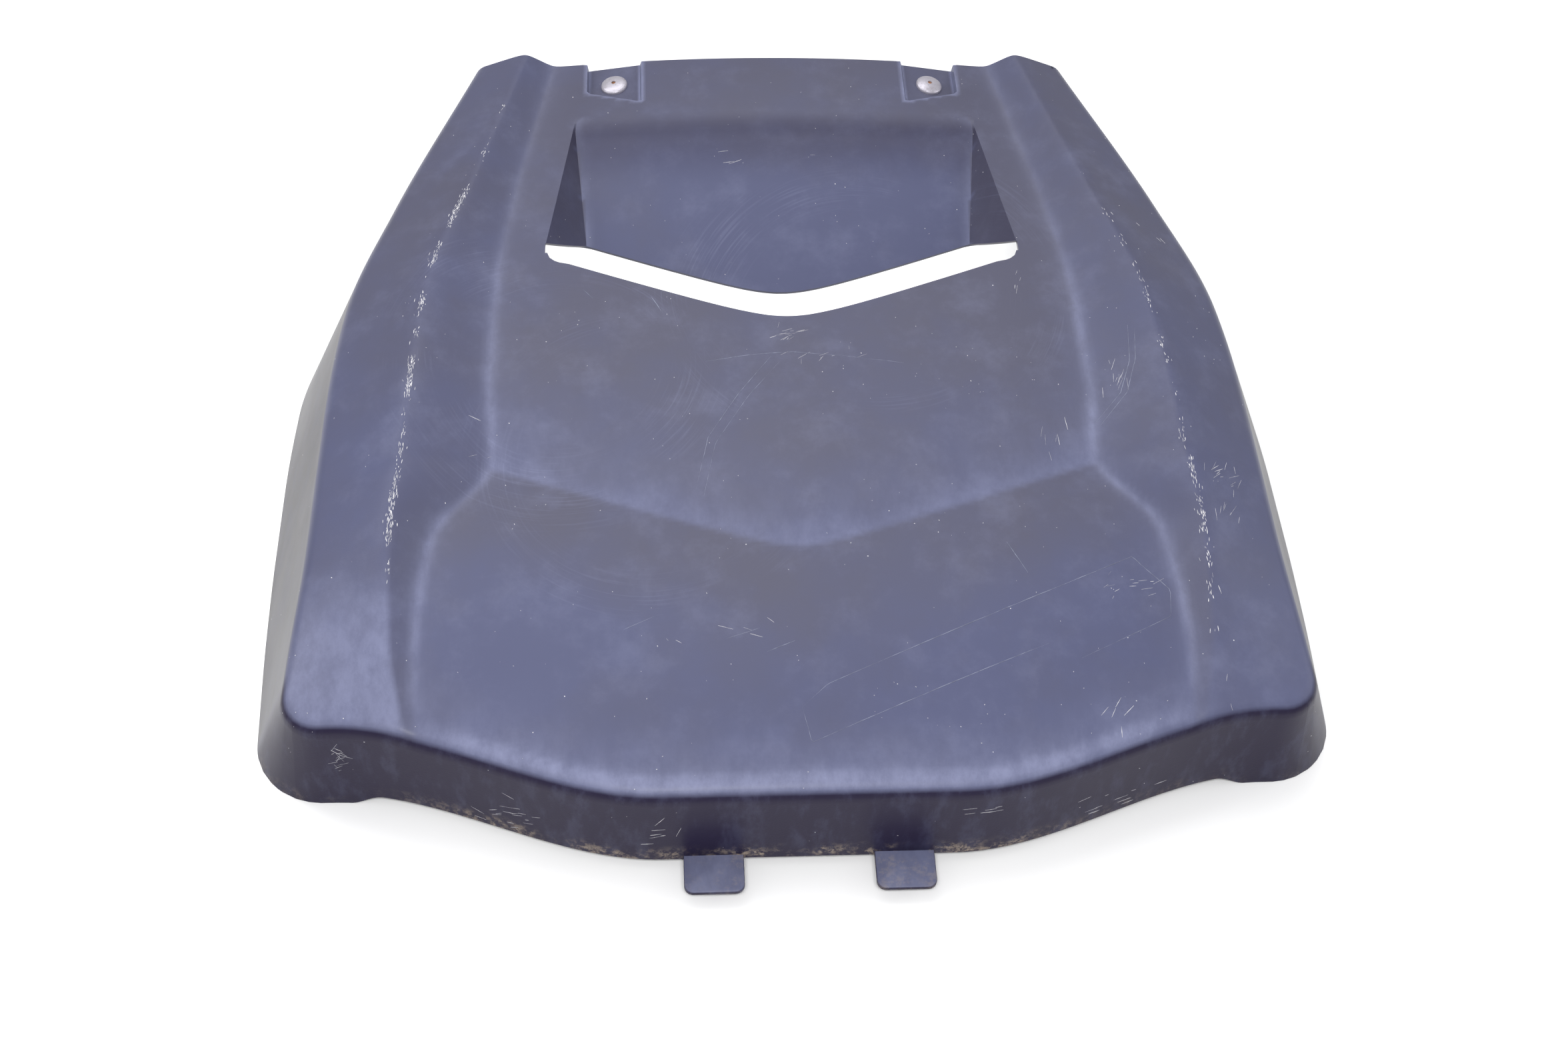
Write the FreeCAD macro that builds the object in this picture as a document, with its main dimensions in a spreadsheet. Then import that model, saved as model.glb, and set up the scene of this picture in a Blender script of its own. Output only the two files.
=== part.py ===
import FreeCAD, Part
import math
import os
import Sketcher

Vector = FreeCAD.Vector
Rotation = FreeCAD.Rotation
Placement = FreeCAD.Placement

# Sizes in millimetres and degrees. Stations run from the rear edge (1) to the front rim (8).
# Lengths along the bonnet are counted from the front reference line, positive to the rear.
VALUES = [
    ("wall", 3.2), ("rim_round", 8.0), ("inner_round", 5.0), ("kink_round", 10.0),
    ("place_1", 632.0), ("place_2", 480.0), ("place_3", 380.0), ("place_4", 300.0),
    ("place_5", 237.0), ("place_6", 174.0), ("place_7", 100.0), ("place_8", 40.0),
    ("crest_1", 195.0), ("crest_2", 233.0), ("crest_3", 257.0), ("crest_4", 263.0),
    ("crest_5", 266.0), ("crest_6", 271.0), ("crest_7", 268.0), ("crest_8", 257.0),
    ("valley_1", 174.0), ("valley_2", 200.0), ("valley_3", 210.0), ("valley_4", 211.0),
    ("valley_5", 208.0), ("valley_6", 246.0), ("valley_7", 253.0), ("valley_8", 250.0),
    ("ridge_1", 17.0), ("ridge_2", 20.0), ("ridge_3", 22.0), ("ridge_4", 25.0),
    ("ridge_5", 26.0), ("ridge_6", 21.0), ("ridge_7", 10.0), ("ridge_8", 2.0),
    ("edge_1", 236.0), ("edge_2", 291.0), ("edge_3", 319.0), ("edge_4", 326.5),
    ("edge_5", 328.5), ("edge_6", 330.5), ("edge_7", 336.0), ("edge_8", 339.0),
    ("edge_height_1", 126.0), ("edge_height_2", 119.0), ("edge_height_3", 114.0),
    ("edge_height_4", 107.0), ("edge_height_5", 101.5), ("edge_height_6", 95.0),
    ("edge_height_7", 84.5), ("edge_height_8", 78.0),
    ("base_1", 272.0), ("base_2", 342.0), ("base_3", 368.0), ("base_4", 371.0),
    ("base_5", 371.0), ("base_6", 370.0), ("base_7", 367.0), ("base_8", 364.0),
    ("front_flat", 95.0), ("front_end", 310.0), ("front_bow", 54.0), ("front_lead", 15.5),
    ("front_lean", 6.0), ("corner_round", 28.0), ("foot_round", 46.0),
    ("rim_height", 80.0), ("crease_height", 110.0), ("deck_height", 126.0),
    ("rear_height", 137.5), ("rear_arch", 9.5), ("deck_span", 190.0),
    ("crease_place", 163.0), ("crease_sweep", 0.36), ("crease_soft", 20.0),
    ("hinge_place", 562.0), ("hinge_height", 135.4), ("duct_slope", 0.375),
    ("duct_rear_half", 156.0), ("duct_side_half", 147.0), ("duct_top_half", 175.0),
    ("duct_side_place", 465.0), ("duct_top_place", 434.0), ("duct_edge_place", 414.0),
    ("duct_edge_height", 94.0), ("duct_edge_lean", 0.94),
    ("slot_place", 358.0), ("slot_sweep", 0.415), ("slot_soft", 30.0), ("slot_corner", 15.0),
    ("pad_inner", 104.0), ("pad_outer", 147.0), ("pad_front_inner", 584.0),
    ("pad_front_outer", 597.0), ("pad_tilt", 9.0), ("pad_height", 127.0),
    ("pad_place", 610.0), ("pad_floor", 3.0),
    ("head_width", 21.0), ("head_rise", 4.0), ("head_rim", 0.9), ("shank_width", 6.4), ("shank_gap", 0.1),
    ("pin_width", 3.4), ("pin_sink", 1.0), ("tail_width", 10.0), ("tail_length", 5.0),
    ("pin_head_width", 5.4), ("pin_head_length", 2.6),
    ("washer_width", 18.0), ("washer_thick", 1.6),
    ("tab_offset", 62.0), ("tab_width", 39.0), ("tab_tip", 41.0), ("tab_root", 6.0),
    ("tab_thick", 3.5), ("tab_round", 6.0),
    ("relief_height", 10.0), ("relief_half", 300.0), ("relief_run", 22.0), ("relief_reach", 75.0),
]

doc = FreeCAD.newDocument("bonnet")
sheet = doc.addObject("Spreadsheet::Sheet", "sheet")
for row, (name, value) in enumerate(VALUES, start=1):
    sheet.set("A%d" % row, name)
    sheet.set("B%d" % row, str(value))
    sheet.setAlias("B%d" % row, name)
last = len(VALUES) + 1
sheet.set("A%d" % last, "middle")
sheet.set("B%d" % last, "=(place_1 - tab_tip) / 2")
sheet.setAlias("B%d" % last, "middle")
doc.recompute()


def size(name):
    return float(sheet.get(name))


def series(name):
    return [size("%s_%d" % (name, index)) for index in range(1, 9)]


PLACES = series("place")
CREST = series("crest")
VALLEY = series("valley")
RIDGE = series("ridge")
EDGE = series("edge")
EDGE_HEIGHT = series("edge_height")
BASE = series("base")
MIDDLE = size("middle")
WALL = size("wall")


def smooth_curve(places, values, at):
    """Smooth curve without overshoot through the given stations."""
    pairs = sorted(zip(places, values))
    xs = [pair[0] for pair in pairs]
    ys = [pair[1] for pair in pairs]
    count = len(xs)
    rise = [(ys[k + 1] - ys[k]) / (xs[k + 1] - xs[k]) for k in range(count - 1)]
    slope = [rise[0]]
    for k in range(1, count - 1):
        if rise[k - 1] * rise[k] <= 0:
            slope.append(0.0)
        else:
            slope.append(2 * rise[k - 1] * rise[k] / (rise[k - 1] + rise[k]))
    slope.append(rise[-1])
    if at <= xs[0]:
        return ys[0] + slope[0] * (at - xs[0])
    if at >= xs[-1]:
        return ys[-1] + slope[-1] * (at - xs[-1])
    k = max(index for index in range(count - 1) if xs[index] <= at)
    step = xs[k + 1] - xs[k]
    t = (at - xs[k]) / step
    start = ys[k] * (1 + 2 * t) * (1 - t) ** 2 + slope[k] * step * t * (1 - t) ** 2
    end = ys[k + 1] * t * t * (3 - 2 * t) - slope[k + 1] * step * t * t * (1 - t)
    return start + end


def ramp(distance, radius):
    """Zero before a kink and rising after it, rounded over the radius."""
    return (distance + math.sqrt(distance * distance + radius * radius)) / 2


def swept(x, start, sweep, soft):
    """A vee line in plan, rounded at its tip."""
    return start + sweep * (math.sqrt(x * x + soft * soft) - soft)


def front_line(x):
    """The bowed foot line of the front face in plan."""
    t = (abs(x) - size("front_flat")) / (size("front_end") - size("front_flat"))
    t = min(max(t, 0.0), 1.0)
    bow = t * t * (3 - 2 * t)
    return size("front_bow") * bow - size("front_lead")


def panel(x, y):
    """Height of the deck between the ridges, with its swept crease."""
    crease = swept(x, size("crease_place"), size("crease_sweep"), size("crease_soft"))
    ahead = y - crease
    rim = front_line(x) + size("rim_round")
    t = -ahead / (crease - rim)
    fall = size("crease_height") - size("rim_height")
    low = size("crease_height") - fall * (0.24 * t + 0.76 * t * t)
    q = min(max(ahead / size("deck_span"), -0.3), 1.0)
    high = size("crease_height") + (size("deck_height") - size("crease_height")) * (1 - (1 - q) ** 3)
    g = (ahead - size("deck_span")) / (size("place_1") - crease - size("deck_span"))
    g = min(max(g, 0.0), 1.0)
    rear = size("rear_height") - size("rear_arch") * (x / size("valley_1")) ** 2
    high += (rear - size("deck_height")) * g * g * (3 - 2 * g)
    blend = 0.5 * (1 + ahead / math.sqrt(ahead * ahead + 40.0))
    return low * (1 - blend) + high * blend


def top_height(x, y):
    """Height of the outside surface: deck, inner slope, crest and outer slope."""
    across = abs(x)
    valley = smooth_curve(PLACES, VALLEY, y)
    crest = max(smooth_curve(PLACES, CREST, y), valley + 6.0)
    edge = smooth_curve(PLACES, EDGE, y)
    edge_height = smooth_curve(PLACES, EDGE_HEIGHT, y)
    ridge = smooth_curve(PLACES, RIDGE, y)
    radius = size("kink_round")
    climb = ridge / (crest - valley)
    fall = (panel(valley, y) + ridge - edge_height) / (edge - crest)
    on_deck = across - ramp(across - valley, radius)
    height = panel(on_deck, y) + climb * ramp(across - valley, radius)
    return height - (climb + fall) * ramp(across - crest, radius)


def height_body(drop):
    """Everything below the outside surface, lowered by a wall measured square to it."""
    rows = []
    for i in range(59):
        row = []
        for j in range(53):
            x = -406.0 + 14.0 * i
            y = -45.0 + 13.75 * j
            height = top_height(x, y)
            tilt_x = (top_height(x + 1, y) - top_height(x - 1, y)) / 2
            tilt_y = (top_height(x, y + 1) - top_height(x, y - 1)) / 2
            height -= drop * math.sqrt(1 + tilt_x * tilt_x + tilt_y * tilt_y)
            row.append(Vector(x, y - MIDDLE, height))
        rows.append(row)
    surface = Part.BSplineSurface()
    surface.interpolate(rows)
    return surface.toShape().extrude(Vector(0, 0, -400))


def outline(height, inset):
    """Plan outline of the flared sides and bowed front at one height."""
    def half(y):
        base = smooth_curve(PLACES, BASE, y)
        edge = smooth_curve(PLACES, EDGE, y)
        return base - (base - edge) * height / smooth_curve(PLACES, EDGE_HEIGHT, y) - inset

    def face(x):
        return front_line(x) + size("front_lean") * height / size("rim_height") + inset

    narrowing = (size("foot_round") - size("corner_round")) / size("rim_height")
    turn = size("foot_round") - narrowing * height - inset
    corner_y = face(half(size("place_8")))
    corner_x = half(corner_y)
    side = []
    for k in range(22):
        y = size("place_1") + (corner_y + turn - size("place_1")) * k / 21
        side.append((half(y), y))
    start = side[-1]
    end = (corner_x - turn, face(corner_x - turn))
    for k in range(1, 5):
        t = k / 5
        x = (1 - t) ** 2 * start[0] + 2 * t * (1 - t) * corner_x + t * t * end[0]
        y = (1 - t) ** 2 * start[1] + 2 * t * (1 - t) * corner_y + t * t * end[1]
        side.append((x, y))
    for k in range(22):
        x = end[0] * (1 - k / 22)
        side.append((x, face(x)))
    points = [Vector(-x, y - MIDDLE, height) for x, y in side]
    points.append(Vector(0, face(0) - MIDDLE, height))
    points += [Vector(x, y - MIDDLE, height) for x, y in reversed(side)]
    curve = Part.BSplineCurve()
    curve.interpolate(points)
    return Part.Wire([curve.toShape(), Part.makeLine(points[-1], points[0])])


def formed_body(drop, inset, radius):
    """Solid under the outside surface, cut to the outline, with its rim rounded."""
    sides = Part.makeLoft([outline(0.0, inset), outline(165.0, inset)], True, True)
    solid = sides.common(height_body(drop)).Solids[0]
    rim = [edge for edge in solid.Edges if edge.Length > 1200 and edge.BoundBox.ZMin > 20]
    return solid.makeFillet(radius, rim)


def flat_parts(solid):
    """The rear and bottom faces of a formed body, and all its other faces."""
    rear = []
    bottom = []
    rest = []
    for face in solid.Faces:
        box = face.BoundBox
        if box.YLength < 0.01:
            rear.append(face)
        elif box.ZLength < 0.01:
            bottom.append(face)
        else:
            rest.append(face)
    return rear[0], bottom[0], rest


def formed_skin():
    """Thin skin between two formed bodies, open below and at the rear."""
    outer_rear, outer_bottom, faces = flat_parts(formed_body(0.0, 0.0, size("rim_round")))
    inner_rear, inner_bottom, inside = flat_parts(formed_body(WALL, WALL * 1.06, size("inner_round")))
    faces += inside
    faces += outer_rear.cut(inner_rear).Faces
    faces += outer_bottom.cut(inner_bottom).Faces
    shell = Part.makeShell(faces)
    shell.sewShape()
    solid = Part.Solid(shell)
    if solid.Volume < 0:
        solid.reverse()
    return solid


DECK_BEND = size("valley_1") ** 2 / (2 * 0.93 * size("rear_arch"))


def half_space(point, normal):
    """A large block on the side of a plane that its normal points to."""
    block = Part.makeBox(1600, 1600, 800, Vector(-800, -800, 0))
    turn = Rotation(Vector(0, 0, 1), normal)
    block.Placement = Placement(point, turn)
    return block


def duct_sides(offset):
    """Side planes of the intake duct, moved outward by the offset."""
    edge_drop = size("duct_slope") * (size("hinge_place") - size("duct_side_place"))
    shoulder = size("hinge_height") - size("duct_rear_half") ** 2 / (2 * DECK_BEND)
    apex = Vector(size("duct_rear_half"), size("hinge_place") - MIDDLE, shoulder)
    upper = Vector(size("duct_top_half"), size("duct_top_place") - MIDDLE, shoulder - 1)
    lower = Vector(size("duct_side_half"), size("duct_side_place") - MIDDLE, shoulder - edge_drop)
    outward = (upper - apex).cross(lower - apex).normalize()
    if outward.x < 0:
        outward = outward * -1
    point = apex + outward * offset
    right = (point, outward * -1)
    left = (Vector(-point.x, point.y, point.z), Vector(outward.x, -outward.y, -outward.z))
    return [right, left]


def duct_bed(offset):
    """Solid under the crowned duct floor, which falls forward from its hinge, lowered by the offset."""
    run = Vector(0, 1, size("duct_slope")).normalize()
    upward = Vector(0, -size("duct_slope"), 1).normalize()
    hinge = Vector(0, size("hinge_place") - MIDDLE, size("hinge_height"))
    return Part.makeCylinder(DECK_BEND - offset, 640, hinge - upward * DECK_BEND - run * 320, run)


def duct_body(offset, ceiling):
    """Room between the duct planes, up to a ceiling."""
    body = Part.makeBox(460, 290, 240, Vector(-230, 340 - MIDDLE, 20))
    for point, normal in duct_sides(offset):
        body = body.common(half_space(point, normal))
    body = body.cut(duct_bed(offset))
    if ceiling is not None:
        body = body.common(ceiling)
    return body


def vee_block(start, half, corner):
    """Plan area behind a swept line, with rounded corners at its ends, as a face at height zero."""
    points = []
    for k in range(41):
        x = -half + corner + (half - corner) * 2 * k / 40
        points.append(Vector(x, swept(x, start, size("slot_sweep"), size("slot_soft")) - MIDDLE, 0))
    curve = Part.BSplineCurve()
    curve.interpolate(points)
    side_y = points[-1].y + corner
    right_side = Vector(half, side_y, 0)
    left_side = Vector(-half, side_y, 0)
    right_mid = Vector(half - corner * 0.25, points[-1].y + corner * 0.33, 0)
    left_mid = Vector(-right_mid.x, right_mid.y, 0)
    right_rear = Vector(half, 640 - MIDDLE, 0)
    left_rear = Vector(-half, 640 - MIDDLE, 0)
    edges = [
        curve.toShape(),
        Part.Arc(points[-1], right_mid, right_side).toShape(),
        Part.makeLine(right_side, right_rear),
        Part.makeLine(right_rear, left_rear),
        Part.makeLine(left_rear, left_side),
        Part.Arc(left_side, left_mid, points[0]).toShape(),
    ]
    return Part.Face(Part.Wire(edges))


def duct_opening():
    """Air room of the duct and its slot, open upward through the skin."""
    plan = vee_block(size("slot_place"), size("duct_top_half") + 1, size("slot_corner"))
    return duct_body(0.0, None).common(plan.extrude(Vector(0, 0, 400)))


def duct_tray():
    """Floor and side walls of the duct before its air room is cut, trimmed at its leaning front edge."""
    crown = Vector(0, size("place_1") - MIDDLE, size("rear_height") - 0.7 - WALL / 2 - DECK_BEND)
    deck = Part.makeCylinder(DECK_BEND, 320, crown, Vector(0, -1, -0.012))
    plan = vee_block(size("duct_edge_place"), 230.0, 2.0)
    rise = 160.0
    plan.translate(Vector(0, size("duct_edge_lean") * size("duct_edge_height"), 0))
    trim = plan.extrude(Vector(0, -size("duct_edge_lean") * rise, rise))
    return duct_body(WALL, deck).common(trim)


PAD_CENTRE = "(sheet.pad_inner + sheet.pad_outer) / 2"


def bind(item, links):
    """Ties properties of an item to cells of the sheet."""
    for prop, formula in links.items():
        item.setExpression(prop, formula)


def pad_block(name, grow, lift, depth, behind):
    """Tilted block under or in a rivet pad, with its slanted front, on the right side."""
    block = doc.addObject("Part::Wedge", name)
    bind(block, {
        "Ymin": "sheet.pad_inner - (sheet.pad_inner + sheet.pad_outer) / 2 - %s" % grow,
        "Ymax": "sheet.pad_outer - (sheet.pad_inner + sheet.pad_outer) / 2 + %s" % grow,
        "Xmin": "sheet.pad_place - sheet.place_1 - %s" % behind,
        "X2min": "sheet.pad_place - sheet.place_1 - %s" % behind,
        "Xmax": "sheet.pad_place - sheet.pad_front_inner + %s" % grow,
        "X2max": "sheet.pad_place - sheet.pad_front_outer + %s" % grow,
        "Zmin": lift, "Z2min": lift,
        "Zmax": "%s + %s" % (lift, depth), "Z2max": "%s + %s" % (lift, depth),
    })
    tie_to_pad(block, -90.0)
    return block


def tie_to_pad(item, turn):
    """Sets an item square on the right pad floor."""
    bind(item, {
        "Placement.Base.x": PAD_CENTRE,
        "Placement.Base.y": "sheet.pad_place - sheet.middle",
        "Placement.Base.z": "sheet.pad_height",
    })
    tilt = Rotation(Vector(0, 1, 0), size("pad_tilt"))
    item.Placement.Rotation = tilt * Rotation(Vector(0, 0, 1), turn)


def mirrored(item):
    """The left-hand twin of a right-hand item."""
    twin = doc.addObject("Part::Mirroring", item.Name + "_left")
    twin.Source = item
    twin.Normal = Vector(1, 0, 0)
    return twin


def joined(name, items):
    """One item made of several that overlap or touch."""
    whole = doc.addObject("Part::MultiFuse", name)
    whole.Shapes = items
    return whole


def pair(label, item):
    """A node of two equal separate solids, left and right."""
    group = doc.addObject("Part::Compound", label)
    group.Links = [item, mirrored(item)]
    group.Label = label
    return group


def turned(name, points, links):
    """A body of revolution from a closed outline in its own upright plane."""
    body = doc.addObject("PartDesign::Body", name)
    sketch = body.newObject("Sketcher::SketchObject", name + "_outline")
    plane = [item for item in body.Origin.OriginFeatures if item.Role == "XZ_Plane"][0]
    sketch.AttachmentSupport = [(plane, "")]
    sketch.MapMode = "FlatFace"
    count = len(points)
    for k in range(count):
        first = Vector(points[k][0], points[k][1], 0)
        second = Vector(points[(k + 1) % count][0], points[(k + 1) % count][1], 0)
        sketch.addGeometry(Part.LineSegment(first, second))
    for k in range(count):
        sketch.addConstraint(Sketcher.Constraint("Coincident", k, 2, (k + 1) % count, 1))
    for k in range(count):
        across = sketch.addConstraint(Sketcher.Constraint("DistanceX", -1, 1, k, 1, points[k][0]))
        upward = sketch.addConstraint(Sketcher.Constraint("DistanceY", -1, 1, k, 1, points[k][1]))
        sketch.setExpression("Constraints[%d]" % across, links[k][0])
        sketch.setExpression("Constraints[%d]" % upward, links[k][1])
    revolution = body.newObject("PartDesign::Revolution", name + "_turned")
    revolution.Profile = sketch
    revolution.ReferenceAxis = (sketch, ["V_Axis"])
    revolution.Angle = 360.0
    body.Tip = revolution
    return body


skin = doc.addObject("Part::Feature", "skin")
skin.Shape = formed_skin()
tray = doc.addObject("Part::Feature", "tray")
tray.Shape = duct_tray()
opening = doc.addObject("Part::Feature", "opening")
opening.Shape = duct_opening()

support = pad_block("pad_support", "sheet.wall", "-sheet.pad_floor", "sheet.pad_floor + 0.6", "0")
recess = pad_block("pad_recess", "0", "0", "30", "12")

tabs = []
for side, sign in (("left", "-"), ("right", "+")):
    tab = doc.addObject("PartDesign::Body", "tab_" + side)
    plate = tab.newObject("PartDesign::AdditiveBox", "tab_plate_" + side)
    bind(plate, {
        "Length": "sheet.tab_width",
        "Width": "sheet.tab_tip - sheet.tab_root",
        "Height": "sheet.tab_thick",
        "Placement.Base.x": "0 %s sheet.tab_offset - sheet.tab_width / 2" % sign,
        "Placement.Base.y": "-sheet.tab_tip - sheet.middle",
        "Placement.Base.z": "sheet.relief_height",
    })
    doc.recompute()
    tips = []
    for index, edge in enumerate(plate.Shape.Edges, start=1):
        box = edge.BoundBox
        if box.ZLength > 1 and box.XLength < 0.01 and box.YMax < -size("tab_tip") - MIDDLE + 1:
            tips.append("Edge%d" % index)
    corners = tab.newObject("PartDesign::Fillet", "tab_corners_" + side)
    corners.Base = (plate, tips)
    corners.setExpression("Radius", "sheet.tab_round")
    tab.Tip = corners
    tabs.append(tab)

relief = doc.addObject("Part::Feature", "relief")
inner = size("relief_half") - size("relief_run")
relief_points = [
    Vector(-size("relief_half"), -80 - MIDDLE, -10), Vector(size("relief_half"), -80 - MIDDLE, -10),
    Vector(size("relief_half"), -80 - MIDDLE, 0), Vector(inner, -80 - MIDDLE, size("relief_height")),
    Vector(-inner, -80 - MIDDLE, size("relief_height")), Vector(-size("relief_half"), -80 - MIDDLE, 0),
]
relief_face = Part.Face(Part.makePolygon(relief_points + relief_points[:1]))
relief.Shape = relief_face.extrude(Vector(0, 80 + size("relief_reach"), 0))

bore = doc.addObject("Part::Cylinder", "rivet_bore")
bind(bore, {"Radius": "sheet.shank_width / 2 + sheet.shank_gap", "Height": "sheet.pad_floor * 6"})
tie_to_pad(bore, 0.0)
bind(bore, {
    "Placement.Base.x": PAD_CENTRE + " - sin(1 deg * sheet.pad_tilt) * sheet.pad_floor * 3",
    "Placement.Base.z": "sheet.pad_height - cos(1 deg * sheet.pad_tilt) * sheet.pad_floor * 3",
})

doc.recompute()
trimmed = doc.addObject("Part::Cut", "skin_with_relief")
trimmed.Base = skin
trimmed.Tool = relief
whole = joined("skin_with_tray", [trimmed, tray, support, mirrored(support)] + tabs)
cutters = joined("openings", [opening, recess, mirrored(recess), bore, mirrored(bore)])
shell = doc.addObject("Part::Cut", "bonnet_shell")
shell.Base = whole
shell.Tool = cutters
shell.Label = "bonnet_shell"

dome = []
for k in range(1, 7):
    turn = math.radians(15.0 * k)
    dome.append((math.cos(turn), math.sin(turn)))
head_outline = [(1.7, -9.6), (5.0, -9.6), (5.0, -4.6), (3.2, -4.6), (3.2, 0.0), (10.5, 0.0), (10.5, 0.9)]
under = "-sheet.pad_floor - sheet.washer_thick"
head_links = [
    ("sheet.pin_width / 2", under + " - sheet.tail_length"),
    ("sheet.tail_width / 2", under + " - sheet.tail_length"),
    ("sheet.tail_width / 2", under),
    ("sheet.shank_width / 2", under),
    ("sheet.shank_width / 2", "0"),
    ("sheet.head_width / 2", "0"),
    ("sheet.head_width / 2", "sheet.head_rim"),
]
for share, lift in dome:
    run = max(share, 0.0)
    radius = "sheet.pin_width / 2 + (sheet.head_width - sheet.pin_width) / 2 * %.5f" % run
    height = "sheet.head_rim + (sheet.head_rise - sheet.head_rim) * %.5f" % lift
    head_outline.append((1.7 + 8.8 * run, 0.9 + 3.1 * lift))
    head_links.append((radius, height))
rivet = turned("rivet", head_outline, head_links)
tie_to_pad(rivet, 0.0)
pin_outline = [(0.0, -12.2), (2.7, -12.2), (2.7, -9.6), (1.7, -9.6), (1.7, 3.0), (0.0, 3.0)]
pin_end = under + " - sheet.tail_length"
pin_links = [
    ("0", pin_end + " - sheet.pin_head_length"),
    ("sheet.pin_head_width / 2", pin_end + " - sheet.pin_head_length"),
    ("sheet.pin_head_width / 2", pin_end),
    ("sheet.pin_width / 2", pin_end),
    ("sheet.pin_width / 2", "sheet.head_rise - sheet.pin_sink"),
    ("0", "sheet.head_rise - sheet.pin_sink"),
]
pin = turned("pin", pin_outline, pin_links)
tie_to_pad(pin, 0.0)
ring_outline = [(3.2, -4.6), (9.0, -4.6), (9.0, -3.0), (3.2, -3.0)]
ring_links = [
    ("sheet.shank_width / 2", under), ("sheet.washer_width / 2", under),
    ("sheet.washer_width / 2", "-sheet.pad_floor"), ("sheet.shank_width / 2", "-sheet.pad_floor"),
]
ring = turned("ring", ring_outline, ring_links)
tie_to_pad(ring, 0.0)

nodes = [
    shell,
    pair("dome_rivets", rivet),
    pair("rivet_mandrels", pin),
    pair("backup_washers", ring),
]
doc.recompute()

for item in doc.Objects:
    if "Invalid" in item.State or "Error" in item.State:
        raise RuntimeError("broken object: " + item.Name)
os.makedirs("parts", exist_ok=True)
for node in nodes:
    if node.Shape.isNull() or not node.Shape.isValid():
        raise RuntimeError("bad shape: " + node.Label)
    print(node.Label, len(node.Shape.Solids), round(node.Shape.Volume), node.Shape.BoundBox)
    node.Shape.exportStep("parts/%s.step" % node.Label)
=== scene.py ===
"""Dresses the utility vehicle bonnet: a worn, faded moulded shell with its duct, tabs and rivets."""

from __future__ import annotations

import logging
import math
from dataclasses import dataclass, field
from enum import Enum
from typing import Callable, Dict, List, Sequence, Tuple

import bpy
import numpy as np
from mathutils import Matrix, Vector

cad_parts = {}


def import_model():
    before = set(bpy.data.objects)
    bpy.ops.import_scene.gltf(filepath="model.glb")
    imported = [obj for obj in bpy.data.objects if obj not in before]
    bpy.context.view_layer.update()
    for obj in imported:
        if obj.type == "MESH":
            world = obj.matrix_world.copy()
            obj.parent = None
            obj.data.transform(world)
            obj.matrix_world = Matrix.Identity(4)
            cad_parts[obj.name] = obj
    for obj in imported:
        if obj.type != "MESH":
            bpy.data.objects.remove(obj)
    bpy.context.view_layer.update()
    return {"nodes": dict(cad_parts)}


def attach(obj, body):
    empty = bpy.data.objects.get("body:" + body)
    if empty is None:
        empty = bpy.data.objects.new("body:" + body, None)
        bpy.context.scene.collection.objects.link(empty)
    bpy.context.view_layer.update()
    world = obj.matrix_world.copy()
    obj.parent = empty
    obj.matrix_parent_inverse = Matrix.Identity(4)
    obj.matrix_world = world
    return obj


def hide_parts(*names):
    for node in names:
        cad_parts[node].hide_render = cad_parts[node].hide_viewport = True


LOG = logging.getLogger("bonnet")
MM = 0.001
ON_CENTRE = 1e-6
Array = np.ndarray
Field = Callable[[Array, Array], Array]


class Side(Enum):
    """Which half of the bonnet a piece belongs to."""

    LEFT = -1
    RIGHT = 1


class Zone(Enum):
    """Where a mark lies: on the upper surface, or on the upright front face."""

    TOP = "top"
    FACE = "face"


def smooth_curve(places: Sequence[float], values: Sequence[float], at: Array) -> Array:
    """Smooth curve without overshoot through stations.

    Args:
        places: Station positions in millimetres, in any order.
        values: Value at each station.
        at: Positions to evaluate.

    Returns:
        The curve's values.
    """
    order = np.argsort(places)
    xs = np.asarray(places, float)[order]
    ys = np.asarray(values, float)[order]
    rise = np.diff(ys) / np.diff(xs)
    before, after = rise[:-1], rise[1:]
    total = np.where(before * after > 0, before + after, 1.0)
    inner = np.where(before * after > 0, 2 * before * after / total, 0.0)
    slope = np.concatenate([rise[:1], inner, rise[-1:]])
    at = np.asarray(at, float)
    k = np.clip(np.searchsorted(xs, at, side="right") - 1, 0, len(xs) - 2)
    step = xs[k + 1] - xs[k]
    t = np.clip((at - xs[k]) / step, 0.0, 1.0)
    start = ys[k] * (1 + 2 * t) * (1 - t) ** 2 + slope[k] * step * t * (1 - t) ** 2
    end = ys[k + 1] * t * t * (3 - 2 * t) - slope[k + 1] * step * t * t * (1 - t)
    low = np.minimum(at - xs[0], 0.0) * slope[0]
    high = np.maximum(at - xs[-1], 0.0) * slope[-1]
    return start + end + low + high


def ramp(distance: Array, radius: float) -> Array:
    """Zero before a kink and rising after it, rounded over a radius.

    Args:
        distance: Signed distance past the kink.
        radius: Rounding radius.

    Returns:
        The rounded ramp.
    """
    return (distance + np.sqrt(distance * distance + radius * radius)) / 2


def fade(value: Array, low: float, high: float) -> Array:
    """Smooth step from 0 at low to 1 at high.

    Args:
        value: Input values.
        low: Where the step starts.
        high: Where the step ends.

    Returns:
        Values between 0 and 1.
    """
    t = np.clip((np.asarray(value, float) - low) / (high - low), 0.0, 1.0)
    return t * t * (3 - 2 * t)


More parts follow.
